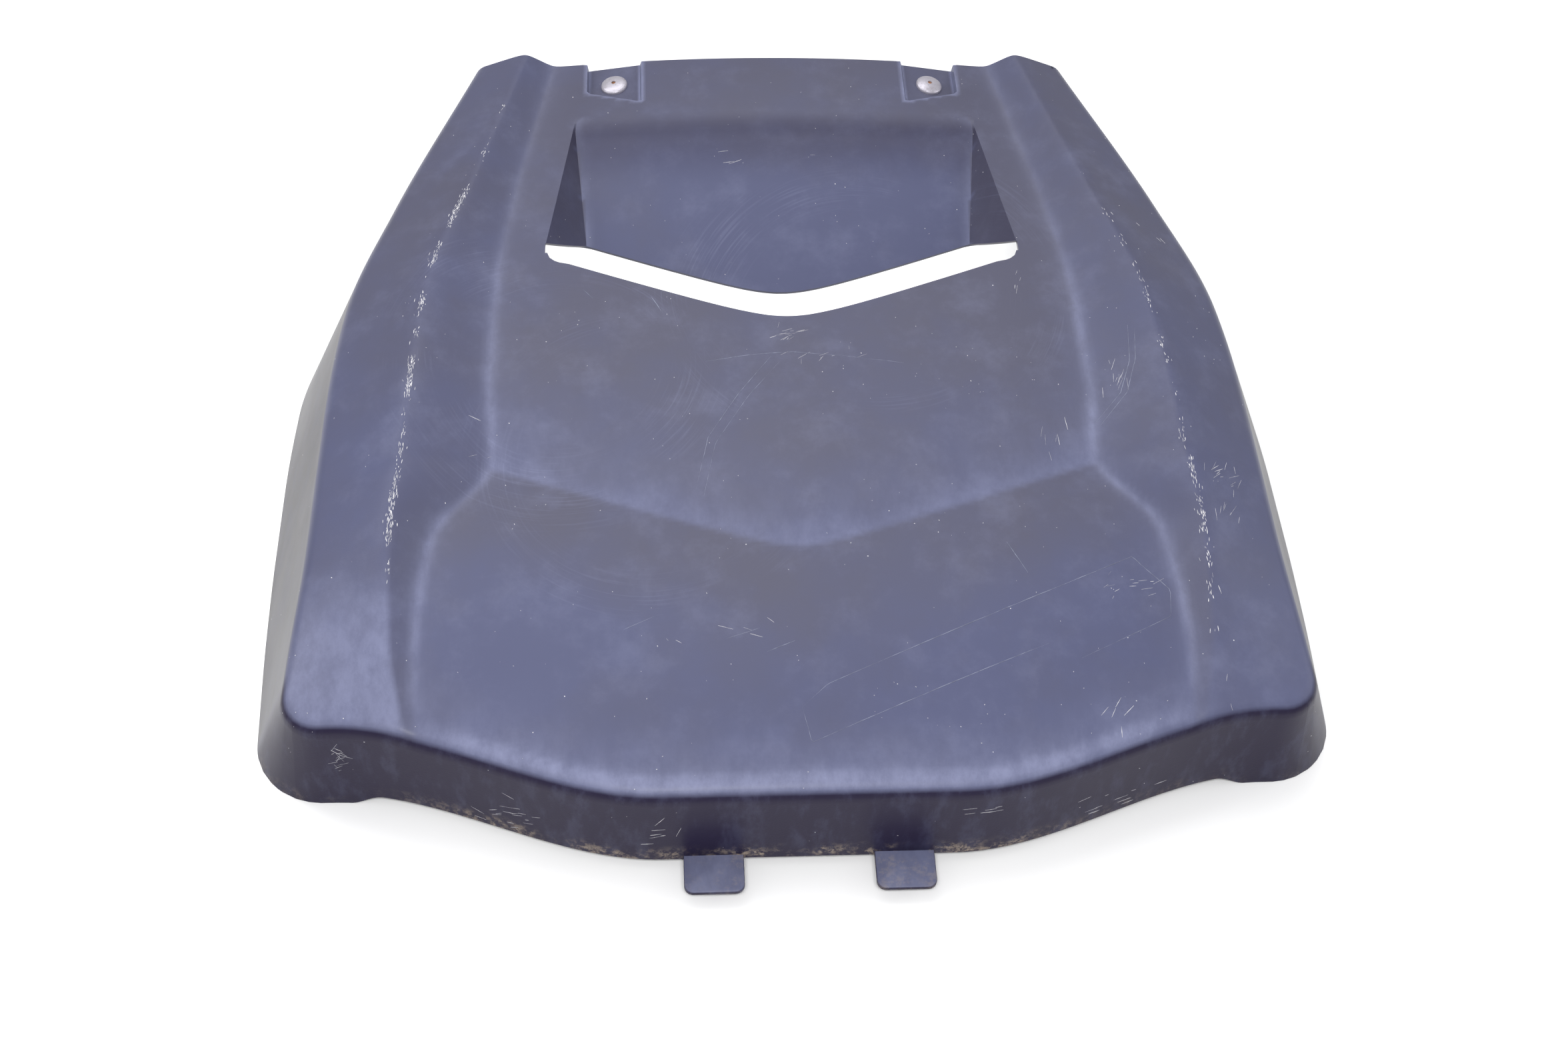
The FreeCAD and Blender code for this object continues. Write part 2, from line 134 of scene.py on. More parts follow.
@dataclass(frozen=True)
class BonnetForm:
    """Sizes of the bonnet in millimetres, and the surfaces they give.

    Lengths along the bonnet are counted from the front reference line towards the rear.
    """

    places: Tuple[float, ...] = (632.0, 480.0, 380.0, 300.0, 237.0, 174.0, 100.0, 40.0)
    crest: Tuple[float, ...] = (195.0, 233.0, 257.0, 263.0, 266.0, 271.0, 268.0, 257.0)
    valley: Tuple[float, ...] = (174.0, 200.0, 210.0, 211.0, 208.0, 246.0, 253.0, 250.0)
    ridge: Tuple[float, ...] = (17.0, 20.0, 22.0, 25.0, 26.0, 21.0, 10.0, 2.0)
    edge: Tuple[float, ...] = (236.0, 291.0, 319.0, 326.5, 328.5, 330.5, 336.0, 339.0)
    edge_height: Tuple[float, ...] = (126.0, 119.0, 114.0, 107.0, 101.5, 95.0, 84.5, 78.0)
    base: Tuple[float, ...] = (272.0, 342.0, 368.0, 371.0, 371.0, 370.0, 367.0, 364.0)
    wall: float = 3.2
    rear: float = 632.0
    tab_tip: float = 41.0
    kink_round: float = 4.0
    ridge_share: float = 0.84
    rim_round: float = 8.0
    rim_roll: float = 1.8
    roll_reach: float = 13.0
    corner_round: float = 28.0
    foot_round: float = 46.0
    front_flat: float = 95.0
    front_end: float = 310.0
    front_bow: float = 54.0
    front_lead: float = 15.5
    front_lean: float = 6.0
    rim_height: float = 80.0
    crease_height: float = 110.0
    deck_height: float = 126.0
    rear_height: float = 137.5
    rear_arch: float = 9.5
    deck_span: float = 190.0
    crease_place: float = 163.0
    crease_sweep: float = 0.36
    crease_soft: float = 20.0
    hinge_place: float = 562.0
    hinge_height: float = 135.4
    hinge_soft: float = 5.0
    duct_slope: float = 0.375
    duct_rear_half: float = 156.0
    duct_side_half: float = 147.0
    duct_top_half: float = 175.0
    duct_side_place: float = 465.0
    duct_top_place: float = 434.0
    duct_edge_place: float = 414.0
    duct_edge_height: float = 94.0
    duct_edge_lean: float = 0.94
    slot_place: float = 358.0
    slot_sweep: float = 0.415
    slot_soft: float = 30.0
    slot_corner: float = 15.5
    pad_inner: float = 104.0
    pad_outer: float = 147.0
    pad_front_inner: float = 584.0
    pad_front_outer: float = 597.0
    pad_tilt: float = 9.0
    pad_height: float = 127.0
    relief_height: float = 10.0
    relief_half: float = 300.0
    relief_run: float = 22.0

    @property
    def middle(self) -> float:
        """Distance from the front reference line to the frame's origin."""
        return (self.rear - self.tab_tip) / 2

    @property
    def hinge_end(self) -> float:
        """Place where the soft bend of the duct floor has run out into the rear flange."""
        return self.hinge_place + 8.0

    @property
    def deck_bend(self) -> float:
        """Radius of the crowned rear deck and duct floor."""
        return self.valley[0] ** 2 / (2 * 0.93 * self.rear_arch)

    def valley_at(self, y: Array) -> Array:
        """Half width of the valley line at a place along the bonnet."""
        return smooth_curve(self.places, self.valley, y)

    def crest_at(self, y: Array) -> Array:
        """Half width of the crest line at a place along the bonnet."""
        return np.maximum(smooth_curve(self.places, self.crest, y), self.valley_at(y) + 6.0)

    def edge_at(self, y: Array) -> Array:
        """Half width of the top of the skirt."""
        return smooth_curve(self.places, self.edge, y)

    def base_at(self, y: Array) -> Array:
        """Half width of the foot of the skirt."""
        return smooth_curve(self.places, self.base, y)

    def crease_at(self, x: Array) -> Array:
        """Place of the swept crease at a distance from the centre line."""
        soft = self.crease_soft
        return self.crease_place + self.crease_sweep * (np.sqrt(x * x + soft * soft) - soft)

    def front_line(self, x: Array) -> Array:
        """Place of the foot of the bowed front face."""
        t = np.clip((np.abs(x) - self.front_flat) / (self.front_end - self.front_flat), 0.0, 1.0)
        return self.front_bow * t * t * (3 - 2 * t) - self.front_lead

    def panel(self, x: Array, y: Array) -> Array:
        """Height of the deck between the ridges."""
        crease = self.crease_at(x)
        ahead = y - crease
        rim = self.front_line(x) + self.rim_round
        t = -ahead / (crease - rim)
        low = self.crease_height - (self.crease_height - self.rim_height) * (0.24 * t + 0.76 * t * t)
        low = low - self.rim_roll * np.exp(-np.maximum(y - rim, 0.0) / self.roll_reach)
        q = np.clip(ahead / self.deck_span, -0.3, 1.0)
        high = self.crease_height + (self.deck_height - self.crease_height) * (1 - (1 - q) ** 3)
        g = np.clip((ahead - self.deck_span) / (self.rear - crease - self.deck_span), 0.0, 1.0)
        rear = self.rear_height - self.rear_arch * (x / self.valley[0]) ** 2
        high = high + (rear - self.deck_height) * g * g * (3 - 2 * g)
        blend = 0.5 * (1 + ahead / np.sqrt(ahead * ahead + 16.0))
        return low * (1 - blend) + high * blend

    def top(self, x: Array, y: Array) -> Array:
        """Height of the outside surface before any opening."""
        x = np.abs(x)
        valley = self.valley_at(y)
        crest = self.crest_at(y)
        ridge = smooth_curve(self.places, self.ridge, y) * self.ridge_share
        edge_height = smooth_curve(self.places, self.edge_height, y)
        climb = ridge / (crest - valley)
        fall = (self.panel(valley, y) + ridge - edge_height) / (self.edge_at(y) - crest)
        past = ramp(x - valley, self.kink_round)
        height = self.panel(x - past, y) + climb * past
        return height - (climb + fall) * ramp(x - crest, self.kink_round)

    def duct_floor(self, x: Array, y: Array) -> Array:
        """Height of the sunken, crowned duct floor."""
        return self.hinge_height - x * x / (2 * self.deck_bend) - self.duct_slope * (self.hinge_place - y)

    def duct_top_line(self, y: Array) -> Array:
        """Half width of the duct's upper side edge."""
        t = (self.hinge_place - y) / (self.hinge_place - self.duct_top_place)
        return self.duct_rear_half + (self.duct_top_half - self.duct_rear_half) * t

    def duct_low_line(self, y: Array) -> Array:
        """Half width of the duct's lower side edge, which always stays inside the upper one."""
        t = (self.hinge_place - y) / (self.hinge_place - self.duct_side_place)
        line = self.duct_rear_half + (self.duct_side_half - self.duct_rear_half) * t
        return np.minimum(line, self.duct_top_line(y) - 1.2)

    def slot_front(self, x: Array) -> Array:
        """Place of the slot's front edge, with its rounded corner."""
        x = np.abs(x)
        soft = self.slot_soft
        turn = self.duct_top_half + 0.5 - self.slot_corner
        along = np.minimum(x, turn)
        line = self.slot_place + self.slot_sweep * (np.sqrt(along * along + soft * soft) - soft)
        past = np.clip(x - turn, 0.0, self.slot_corner)
        return line + self.slot_corner - np.sqrt(self.slot_corner ** 2 - past ** 2)

    def slot_rear(self, x: Array) -> Array:
        """Place of the duct floor's free edge, and of the leaning front edge of its side walls."""
        x = np.abs(x)
        soft = self.slot_soft
        level = self.duct_edge_place + self.slot_sweep * (np.sqrt(x * x + soft * soft) - soft)
        crown = self.hinge_height - x * x / (2 * self.deck_bend)
        rise = self.duct_edge_height - crown + self.duct_slope * self.hinge_place
        floor_edge = (level + self.duct_edge_lean * rise) / (1 + self.duct_edge_lean * self.duct_slope)
        t = (x - self.duct_side_half) / (self.duct_top_half - self.duct_side_half)
        wall_edge = self.duct_side_place + (self.duct_top_place - self.duct_side_place) * t
        return np.where(x < self.duct_side_half, floor_edge, wall_edge)

    def pad_inside(self, x: Array, y: Array) -> Array:
        """Distance inside the outline of a rivet pad, negative outside."""
        x = np.abs(x)
        t = (x - self.pad_inner) / (self.pad_outer - self.pad_inner)
        front = self.pad_front_inner + (self.pad_front_outer - self.pad_front_inner) * t
        return np.minimum(np.minimum(x - self.pad_inner, self.pad_outer - x), y - front)

    def pad_floor(self, x: Array) -> Array:
        """Height of the tilted pad floor."""
        centre = (self.pad_inner + self.pad_outer) / 2
        return self.pad_height - math.tan(math.radians(self.pad_tilt)) * (np.abs(x) - centre)

    def skin(self, x: Array, y: Array) -> Array:
        """Height of the whole upper surface, with the duct and the pads sunk in."""
        x = np.abs(x)
        top = self.top(x, y)
        low, high = self.duct_low_line(y), self.duct_top_line(y)
        depth = ramp(top - self.duct_floor(x, y), self.hinge_soft)
        depth = depth * (1 - fade(y, self.hinge_place - 14.0, self.hinge_end))
        share = np.clip((x - low) / (high - low), 0.0, 1.0)
        duct = (x < high) & (y < self.hinge_end) & (y > self.slot_rear(x) - 4.0)
        duct &= y > self.duct_top_place - 30.0
        height = np.where(duct, top - depth * (1 - share), top)
        inside = np.clip(self.pad_inside(x, y), 0.0, 1.2) / 1.2
        return height * (1 - inside) + np.minimum(self.pad_floor(x), height) * inside

    def inset(self, x: Array, y: Array, foot: bool) -> Array:
        """Distance inside the outline at the rim or at the foot of the skirt.

        Args:
            x: Distances from the centre line.
            y: Places along the bonnet.
            foot: True for the outline on the ground, False for the rim.

        Returns:
            Distance in millimetres, positive inside.
        """
        half = self.base_at(y) if foot else self.edge_at(y)
        ahead = self.base_at(y - 1.0) if foot else self.edge_at(y - 1.0)
        side = (half - x) / np.sqrt(1 + (half - ahead) ** 2)
        line = self.front_line(x) + (0.0 if foot else self.front_lean)
        bend = self.front_line(x + 1.0) - self.front_line(x)
        front = (y - line) / np.sqrt(1 + bend ** 2)
        radius = self.foot_round if foot else self.corner_round
        corner = radius - np.hypot(radius - side, radius - front)
        return np.where((side < radius) & (front < radius), corner, np.minimum(side, front))

    def relief(self, x: Array) -> Array:
        """Height of the lower edge of the front face."""
        return self.relief_height * (1 - fade(np.abs(x), self.relief_half - self.relief_run, self.relief_half))


class PlanMesh:
    """A mesh of polygons in plan that is split along lines drawn across it."""

    def __init__(self, half: float, low: float, high: float, step: float) -> None:
        """Lays a regular grid over the right half.

        Args:
            half: Half width covered.
            low: First place along the bonnet.
            high: Last place along the bonnet.
            step: Size of a cell.
        """
        columns = int(math.ceil(half / step)) + 1
        rows = int(math.ceil((high - low) / step)) + 1
        xs = np.linspace(0.0, half, columns)
        ys = np.linspace(low, high, rows)
        grid_x, grid_y = np.meshgrid(xs, ys)
        self.points: List[Tuple[float, float]] = list(zip(grid_x.ravel(), grid_y.ravel()))
        self.faces: List[List[int]] = []
        for j in range(rows - 1):
            for i in range(columns - 1):
                a = j * columns + i
                self.faces.append([a, a + 1, a + columns + 1, a + columns])

    def centres(self) -> Array:
        """Middle of each face in plan."""
        points = np.array(self.points)
        return np.array([points[f].mean(axis=0) for f in self.faces])

    def split(self, line: Field, where: Callable[[Array, Array], Array] | None = None) -> None:
        """Splits the faces along the line where a field is zero.

        Args:
            line: Signed field over the plan.
            where: Mask of the faces that may be split; all of them if left out.
        """
        points = np.array(self.points)
        value = line(points[:, 0], points[:, 1])
        value = np.where(np.abs(value) < 0.12, 0.0, value)
        allowed = np.ones(len(self.faces), bool)
        if where is not None:
            centres = self.centres()
            allowed = where(centres[:, 0], centres[:, 1])
        cuts: Dict[Tuple[int, int], int] = {}
        result: List[List[int]] = []
        waiting: List[List[int]] = []
        for face, ok in zip(self.faces, allowed):
            signs = value[face]
            if not ok or signs.min() >= 0 or signs.max() <= 0:
                waiting.append(face)
                continue
            upper: List[int] = []
            lower: List[int] = []
            for a, b in zip(face, face[1:] + face[:1]):
                if value[a] >= 0:
                    upper.append(a)
                if value[a] <= 0:
                    lower.append(a)
                if value[a] * value[b] < 0:
                    key = (min(a, b), max(a, b))
                    if key not in cuts:
                        t = value[a] / (value[a] - value[b])
                        pa, pb = self.points[a], self.points[b]
                        self.points.append((pa[0] + (pb[0] - pa[0]) * t, pa[1] + (pb[1] - pa[1]) * t))
                        cuts[key] = len(self.points) - 1
                    upper.append(cuts[key])
                    lower.append(cuts[key])
            result += [part for part in (upper, lower) if len(part) > 2]
        for face in waiting:
            whole: List[int] = []
            for a, b in zip(face, face[1:] + face[:1]):
                whole.append(a)
                key = (min(a, b), max(a, b))
                if key in cuts:
                    whole.append(cuts[key])
            result.append(whole)
        self.faces = result

    def keep(self, inside: Callable[[Array, Array], Array]) -> None:
        """Drops the faces whose middle is not inside.

        Args:
            inside: Mask over the plan of what stays.
        """
        centres = self.centres()
        mask = inside(centres[:, 0], centres[:, 1])
        self.faces = [face for face, stays in zip(self.faces, mask) if stays]

    def open_edges(self) -> List[Tuple[int, int]]:
        """Edges used by one face only, in that face's direction."""
        count: Dict[Tuple[int, int], int] = {}
        for face in self.faces:
            for a, b in zip(face, face[1:] + face[:1]):
                key = (min(a, b), max(a, b))
                count[key] = count.get(key, 0) + 1
        edges = []
        for face in self.faces:
            for a, b in zip(face, face[1:] + face[:1]):
                if count[(min(a, b), max(a, b))] == 1:
                    edges.append((a, b))
        return edges


class NodeSketch:
    """Short hand for building a shader or geometry node tree."""

    def __init__(self, tree: bpy.types.NodeTree) -> None:
        """Starts on an empty tree.

        Args:
            tree: Node tree to fill.
        """
        self.tree = tree

    def node(self, kind: str, **settings: object) -> bpy.types.Node:
        """Adds a node and sets its properties.

        Args:
            kind: Node type name.
            **settings: Properties of the node.

        Returns:
            The new node.
        """
        item = self.tree.nodes.new(kind)
        for name, value in settings.items():
            setattr(item, name, value)
        return item

    def join(self, source: bpy.types.NodeSocket, target: bpy.types.NodeSocket) -> None:
        """Links one socket to another.

        Args:
            source: Output socket.
            target: Input socket.
        """
        self.tree.links.new(source, target)

    def put(self, target: bpy.types.NodeSocket, value: object) -> None:
        """Links or sets an input.

        Args:
            target: Input socket.
            value: A socket to link, or a constant.
        """
        if isinstance(value, bpy.types.NodeSocket):
            self.join(value, target)
        else:
            target.default_value = value

    def math(self, operation: str, a: object, b: object = 0.0, clamp: bool = False) -> bpy.types.NodeSocket:
        """Adds a math node.

        Args:
            operation: Name of the operation.
            a: First input.
            b: Second input.
            clamp: Whether the result is held between 0 and 1.

        Returns:
            The result socket.
        """
        item = self.node("ShaderNodeMath", operation=operation, use_clamp=clamp)
        self.put(item.inputs[0], a)
        self.put(item.inputs[1], b)
        return item.outputs[0]

    def spread(self, value: object, low: float, high: float, to_low: float = 0.0,
               to_high: float = 1.0) -> bpy.types.NodeSocket:
        """Maps a range smoothly to another, held at its ends.

        Args:
            value: Input.
            low: Input low end.
            high: Input high end.
            to_low: Output at the low end.
            to_high: Output at the high end.

        Returns:
            The result socket.
        """
        item = self.node("ShaderNodeMapRange", interpolation_type="SMOOTHSTEP")
        self.put(item.inputs["Value"], value)
        item.inputs["From Min"].default_value = low
        item.inputs["From Max"].default_value = high
        item.inputs["To Min"].default_value = to_low
        item.inputs["To Max"].default_value = to_high
        return item.outputs["Result"]

    def blend(self, share: object, a: object, b: object) -> bpy.types.NodeSocket:
        """Mixes two colours.

        Args:
            share: Share of the second colour.
            a: First colour.
            b: Second colour.

        Returns:
            The mixed colour socket.
        """
        item = self.node("ShaderNodeMix", data_type="RGBA")
        self.put(item.inputs["Factor"], share)
        self.put(item.inputs[6], a)
        self.put(item.inputs[7], b)
        return item.outputs[2]

    def place(self, scale: Tuple[float, float, float], turn: float = 0.0) -> bpy.types.NodeSocket:
        """Object coordinates, stretched and turned about the upright axis.

        Args:
            scale: Scale along each axis.
            turn: Turn in degrees.

        Returns:
            The vector socket.
        """
        coordinates = self.node("ShaderNodeTexCoord")
        mapping = self.node("ShaderNodeMapping")
        mapping.inputs["Scale"].default_value = scale
        mapping.inputs["Rotation"].default_value = (0.0, 0.0, math.radians(turn))
        self.join(coordinates.outputs["Object"], mapping.inputs["Vector"])
        return mapping.outputs["Vector"]

    def noise(self, vector: bpy.types.NodeSocket, scale: float, detail: float = 4.0,
              rough: float = 0.55) -> bpy.types.NodeSocket:
        """Adds a noise texture.

        Args:
            vector: Coordinates.
            scale: Frequency.
            detail: Octaves.
            rough: Roughness of the octaves.

        Returns:
            The noise value socket.
        """
        item = self.node("ShaderNodeTexNoise")
        self.join(vector, item.inputs["Vector"])
        item.inputs["Scale"].default_value = scale
        item.inputs["Detail"].default_value = detail
        item.inputs["Roughness"].default_value = rough
        return item.outputs["Fac"]

    def vector(self, x: object, y: object, z: object) -> bpy.types.NodeSocket:
        """Joins three numbers to a vector.

        Args:
            x: First number.
            y: Second number.
            z: Third number.

        Returns:
            The vector socket.
        """
        item = self.node("ShaderNodeCombineXYZ")
        for target, value in zip(item.inputs, (x, y, z)):
            self.put(target, value)
        return item.outputs["Vector"]

    def chance(self, low: float, high: float, seed: int) -> bpy.types.NodeSocket:
        """Random number for each point of a geometry tree.

        Args:
            low: Smallest value.
            high: Largest value.
            seed: Fixed seed.

        Returns:
            The value socket.
        """
        item = self.node("FunctionNodeRandomValue", data_type="FLOAT")
        item.inputs[2].default_value = low
        item.inputs[3].default_value = high
        item.inputs["Seed"].default_value = seed
        return item.outputs[1]

    def stored(self, name: str) -> bpy.types.NodeSocket:
        """Reads a float attribute in a geometry tree.

        Args:
            name: Attribute name.

        Returns:
            The value socket.
        """
        item = self.node("GeometryNodeInputNamedAttribute", data_type="FLOAT")
        item.inputs["Name"].default_value = name
        return item.outputs["Attribute"]

    def attribute(self, name: str) -> bpy.types.NodeSocket:
        """Reads a float attribute of the mesh.

        Args:
            name: Attribute name.

        Returns:
            The value socket.
        """
        return self.node("ShaderNodeAttribute", attribute_name=name).outputs["Fac"]


def new_material(name: str) -> Tuple[bpy.types.Material, NodeSketch, bpy.types.Node]:
    """Makes a material with an empty shader.

    Args:
        name: Material name.

    Returns:
        The material, its sketch and its surface shader.
    """
    material = bpy.data.materials.new(name)
    material.use_nodes = True
    material.node_tree.nodes.clear()
    sketch = NodeSketch(material.node_tree)
    shader = sketch.node("ShaderNodeBsdfPrincipled")
    output = sketch.node("ShaderNodeOutputMaterial")
    sketch.join(shader.outputs["BSDF"], output.inputs["Surface"])
    return material, sketch, shader


Colour = Tuple[float, float, float, float]


@dataclass(frozen=True)
class Swirl:
    """Fine brushed arcs left by wiping, about a centre in plan, in metres."""

    x: float
    y: float
    inner: float
    outer: float
    strength: float


@dataclass(frozen=True)
class WornPlastic:
    """Faded moulded plastic: grey to blue on top, with painted shade on the front face, rim fillet and steep duct
    walls, painted highlights and reflections mixed into its chalk, and a warm grey painted floor reflection on the
    side skirts.
    """

    name: str = "worn_plastic"
    grey: Colour = (0.080, 0.080, 0.120, 1.0)
    blue: Colour = (0.080, 0.087, 0.158, 1.0)
    # Pale colour of chalky faded plastic, also used for painted highlights and painted reflections.
    chalk_and_sheen: Colour = (0.190, 0.204, 0.318, 1.0)
    # Painted shade colour for the front face, rim fillet, steep duct walls and tab sides.
    shade: Colour = (0.017, 0.013, 0.034, 1.0)
    # Warm grey painted reflection of the pale floor on the side skirts.
    skirt_sheen: Colour = (0.080, 0.076, 0.080, 1.0)
    soil: Colour = (0.38, 0.31, 0.24, 1.0)
    swirls: Tuple[Swirl, ...] = (Swirl(0.06, 0.09, 0.09, 0.17, 0.22), Swirl(-0.16, 0.02, 0.06, 0.15, 0.16),
                                 Swirl(-0.10, -0.06, 0.08, 0.14, 0.14))

    def brushed(self, s: NodeSketch, swirl: Swirl) -> bpy.types.NodeSocket:
        """Streaks along the arcs of one swirl.

        Args:
            s: Sketch of the material.
            swirl: Where the arcs are.

        Returns:
            Share of chalk that the streaks add.
        """
        apart = s.node("ShaderNodeSeparateXYZ")
        s.join(s.place((1.0, 1.0, 1.0)), apart.inputs["Vector"])
        x = s.math("SUBTRACT", apart.outputs["X"], swirl.x)
        y = s.math("SUBTRACT", apart.outputs["Y"], swirl.y)
        reach = s.math("SQRT", s.math("ADD", s.math("MULTIPLY", x, x), s.math("MULTIPLY", y, y)))
        turn = s.math("MULTIPLY", s.math("ARCTAN2", y, x), 0.003)
        streak = s.spread(s.noise(s.vector(reach, turn, 0.0), 620.0, 3.0, 0.6), 0.50, 0.68)
        band = s.math("MULTIPLY", s.spread(reach, swirl.inner, swirl.inner + 0.03),
                      s.spread(reach, swirl.outer - 0.03, swirl.outer, 1.0, 0.0))
        patch = s.spread(s.noise(s.place((1.0, 1.0, 1.0)), 11.0, 3.0), 0.42, 0.62)
        return s.math("MULTIPLY", s.math("MULTIPLY", streak, band), s.math("MULTIPLY", patch, swirl.strength))

    def build(self) -> bpy.types.Material:
        """Builds the material.

        Returns:
            The material.
        """
        material, s, shader = new_material(self.name)
        plain = s.place((1.0, 1.0, 1.0))
        cloud = s.noise(plain, 8.0, 6.0, 0.62)
        # Grey to blue by the blue mask, which holds a painted sheen near the crease and towards the rim, and by a
        # random cloud.
        tone = s.math("ADD", s.attribute("blue"), s.spread(cloud, 0.3, 0.7, -0.3, 0.3), True)
        colour = s.blend(tone, self.grey, self.blue)
        rub = s.noise(s.place((1.0, 0.5, 1.0), 8.0), 60.0, 6.0, 0.7)
        # This mask holds real chalky fading and wear together with painted highlights and reflections along the
        # crease, valleys and front rim and on the left outer slope; the smears and brushed swirls add real wiping
        # marks.
        chalk_and_sheen = s.math("MULTIPLY", s.attribute("chalk_and_sheen"), s.spread(rub, 0.3, 0.72, 0.45, 1.0), True)
        smears = s.spread(s.noise(plain, 26.0, 7.0, 0.68), 0.45, 0.80, 0.0, 0.22)
        chalk_and_sheen = s.math("ADD", chalk_and_sheen, smears, True)
        for swirl in self.swirls:
            chalk_and_sheen = s.math("ADD", chalk_and_sheen, self.brushed(s, swirl), True)
        colour = s.blend(chalk_and_sheen, colour, self.chalk_and_sheen)
        stain = s.spread(s.noise(s.place((1.0, 1.0, 0.4)), 70.0, 5.0, 0.65), 0.40, 0.75)
        # Painted shade: the front mask (front face, rim fillet, duct floor before the hinge, tab sides) and the
        # steep walls of the sunk duct, found from their normals, are darkened towards the shade colour; the stain
        # noise lightens this shade in patches by up to about a fifth.
        upright = s.node("ShaderNodeSeparateXYZ")
        s.join(s.node("ShaderNodeNewGeometry").outputs["Normal"], upright.inputs["Vector"])
        steep = s.math("MULTIPLY", s.spread(upright.outputs["Z"], 0.45, 0.70, 0.55, 0.0), s.attribute("sunk"))
        painted_shade = s.math("MAXIMUM", s.attribute("front"), steep)
        front = s.math("MULTIPLY", painted_shade, s.spread(stain, 0.0, 1.0, 1.0, 0.78))
        colour = s.blend(front, colour, self.shade)
        # Painted reflection: the side skirts turn warm grey, as if reflecting the pale floor, mottled by the rub
        # noise.
        skirt_sheen_share = s.math("MULTIPLY", s.attribute("skirt"), s.spread(rub, 0.3, 0.72, 1.0, 0.72))
        colour = s.blend(skirt_sheen_share, colour, self.skirt_sheen)
        crumbs = s.spread(s.noise(plain, 190.0, 6.0, 0.75), 0.44, 0.62)
        dust = s.math("MULTIPLY", crumbs, s.spread(s.noise(plain, 40.0, 4.0, 0.6), 0.38, 0.60))
        colour = s.blend(s.math("MULTIPLY", dust, s.attribute("soil"), True), colour, self.soil)
        s.join(colour, shader.inputs["Base Color"])
        gloss = s.math("ADD", s.spread(cloud, 0.3, 0.7, 0.31, 0.38), s.math("MULTIPLY", chalk_and_sheen, 0.10))
        s.join(gloss, shader.inputs["Roughness"])
        shader.inputs["Specular IOR Level"].default_value = 0.16
        bump = s.node("ShaderNodeBump")
        bump.inputs["Strength"].default_value = 0.10
        bump.inputs["Distance"].default_value = 0.0005
        s.join(s.noise(plain, 900.0, 2.0), bump.inputs["Height"])
        s.join(bump.outputs["Normal"], shader.inputs["Normal"])
        return material


@dataclass(frozen=True)
class ScratchedPlastic:
    """Torn up, whitened plastic of scratches and flecks."""

    name: str
    dim: Colour
    bright: Colour

    def build(self) -> bpy.types.Material:
        """Builds the material.

        Returns:
            The material.
        """
        material, s, shader = new_material(self.name)
        share = s.spread(s.noise(s.place((1.0, 1.0, 1.0)), 160.0, 4.0, 0.6), 0.35, 0.68)
        s.join(s.blend(share, self.dim, self.bright), shader.inputs["Base Color"])
        shader.inputs["Roughness"].default_value = 0.75
        shader.inputs["Specular IOR Level"].default_value = 0.3
        return material


@dataclass(frozen=True)
class PlainPlastic:
    """Unfaded underside of the moulding."""

    name: str = "underside_plastic"
    dark: Colour = (0.022, 0.023, 0.027, 1.0)
    pale: Colour = (0.036, 0.037, 0.042, 1.0)

    def build(self) -> bpy.types.Material:
        """Builds the material.

        Returns:
            The material.
        """
        material, s, shader = new_material(self.name)
        plain = s.place((1.0, 1.0, 1.0))
        colour = s.blend(s.spread(s.noise(plain, 14.0, 5.0), 0.35, 0.7), self.dark, self.pale)
        s.join(colour, shader.inputs["Base Color"])
        s.join(s.spread(s.noise(plain, 30.0), 0.3, 0.7, 0.45, 0.62), shader.inputs["Roughness"])
        bump = s.node("ShaderNodeBump")
        bump.inputs["Strength"].default_value = 0.1
        bump.inputs["Distance"].default_value = 0.0005
        s.join(s.noise(plain, 800.0, 2.0), bump.inputs["Height"])
        s.join(bump.outputs["Normal"], shader.inputs["Normal"])
        return material


@dataclass(frozen=True)
class DullMetal:
    """Weathered metal with fine scratches."""

    name: str
    bright: Colour
    stain: Colour
    metallic: float
    rough: float

    def build(self) -> bpy.types.Material:
        """Builds the material.

        Returns:
            The material.
        """
        material, s, shader = new_material(self.name)
        plain = s.place((1.0, 1.0, 1.0))
        cover = s.spread(s.noise(plain, 210.0, 6.0, 0.65), 0.45, 0.72)
        s.join(s.blend(cover, self.bright, self.stain), shader.inputs["Base Color"])
        shader.inputs["Metallic"].default_value = self.metallic
        s.join(s.spread(cover, 0.0, 1.0, self.rough, self.rough + 0.2), shader.inputs["Roughness"])
        bump = s.node("ShaderNodeBump")
        bump.inputs["Strength"].default_value = 0.15
        bump.inputs["Distance"].default_value = 0.0003
        s.join(s.noise(s.place((1.0, 5.0, 1.0)), 900.0, 3.0), bump.inputs["Height"])
        s.join(bump.outputs["Normal"], shader.inputs["Normal"])
        return material


def set_attributes(mesh: bpy.types.Mesh, values: Dict[str, Array]) -> None:
    """Stores numbers on the points of a mesh.

    Args:
        mesh: Mesh to write to.
        values: Values for each point, by attribute name.
    """
    for name, value in values.items():
        layer = mesh.attributes.new(name, "FLOAT", "POINT")
        layer.data.foreach_set("value", np.asarray(value, np.float32))


def add_object(name: str, mesh: bpy.types.Mesh) -> bpy.types.Object:
    """Makes an object of a mesh at the origin.

    Args:
        name: Name of the object.
        mesh: Its mesh.

    Returns:
        The object, linked to the scene.
    """
    item = bpy.data.objects.new(name, mesh)
    bpy.context.scene.collection.objects.link(item)
    return item


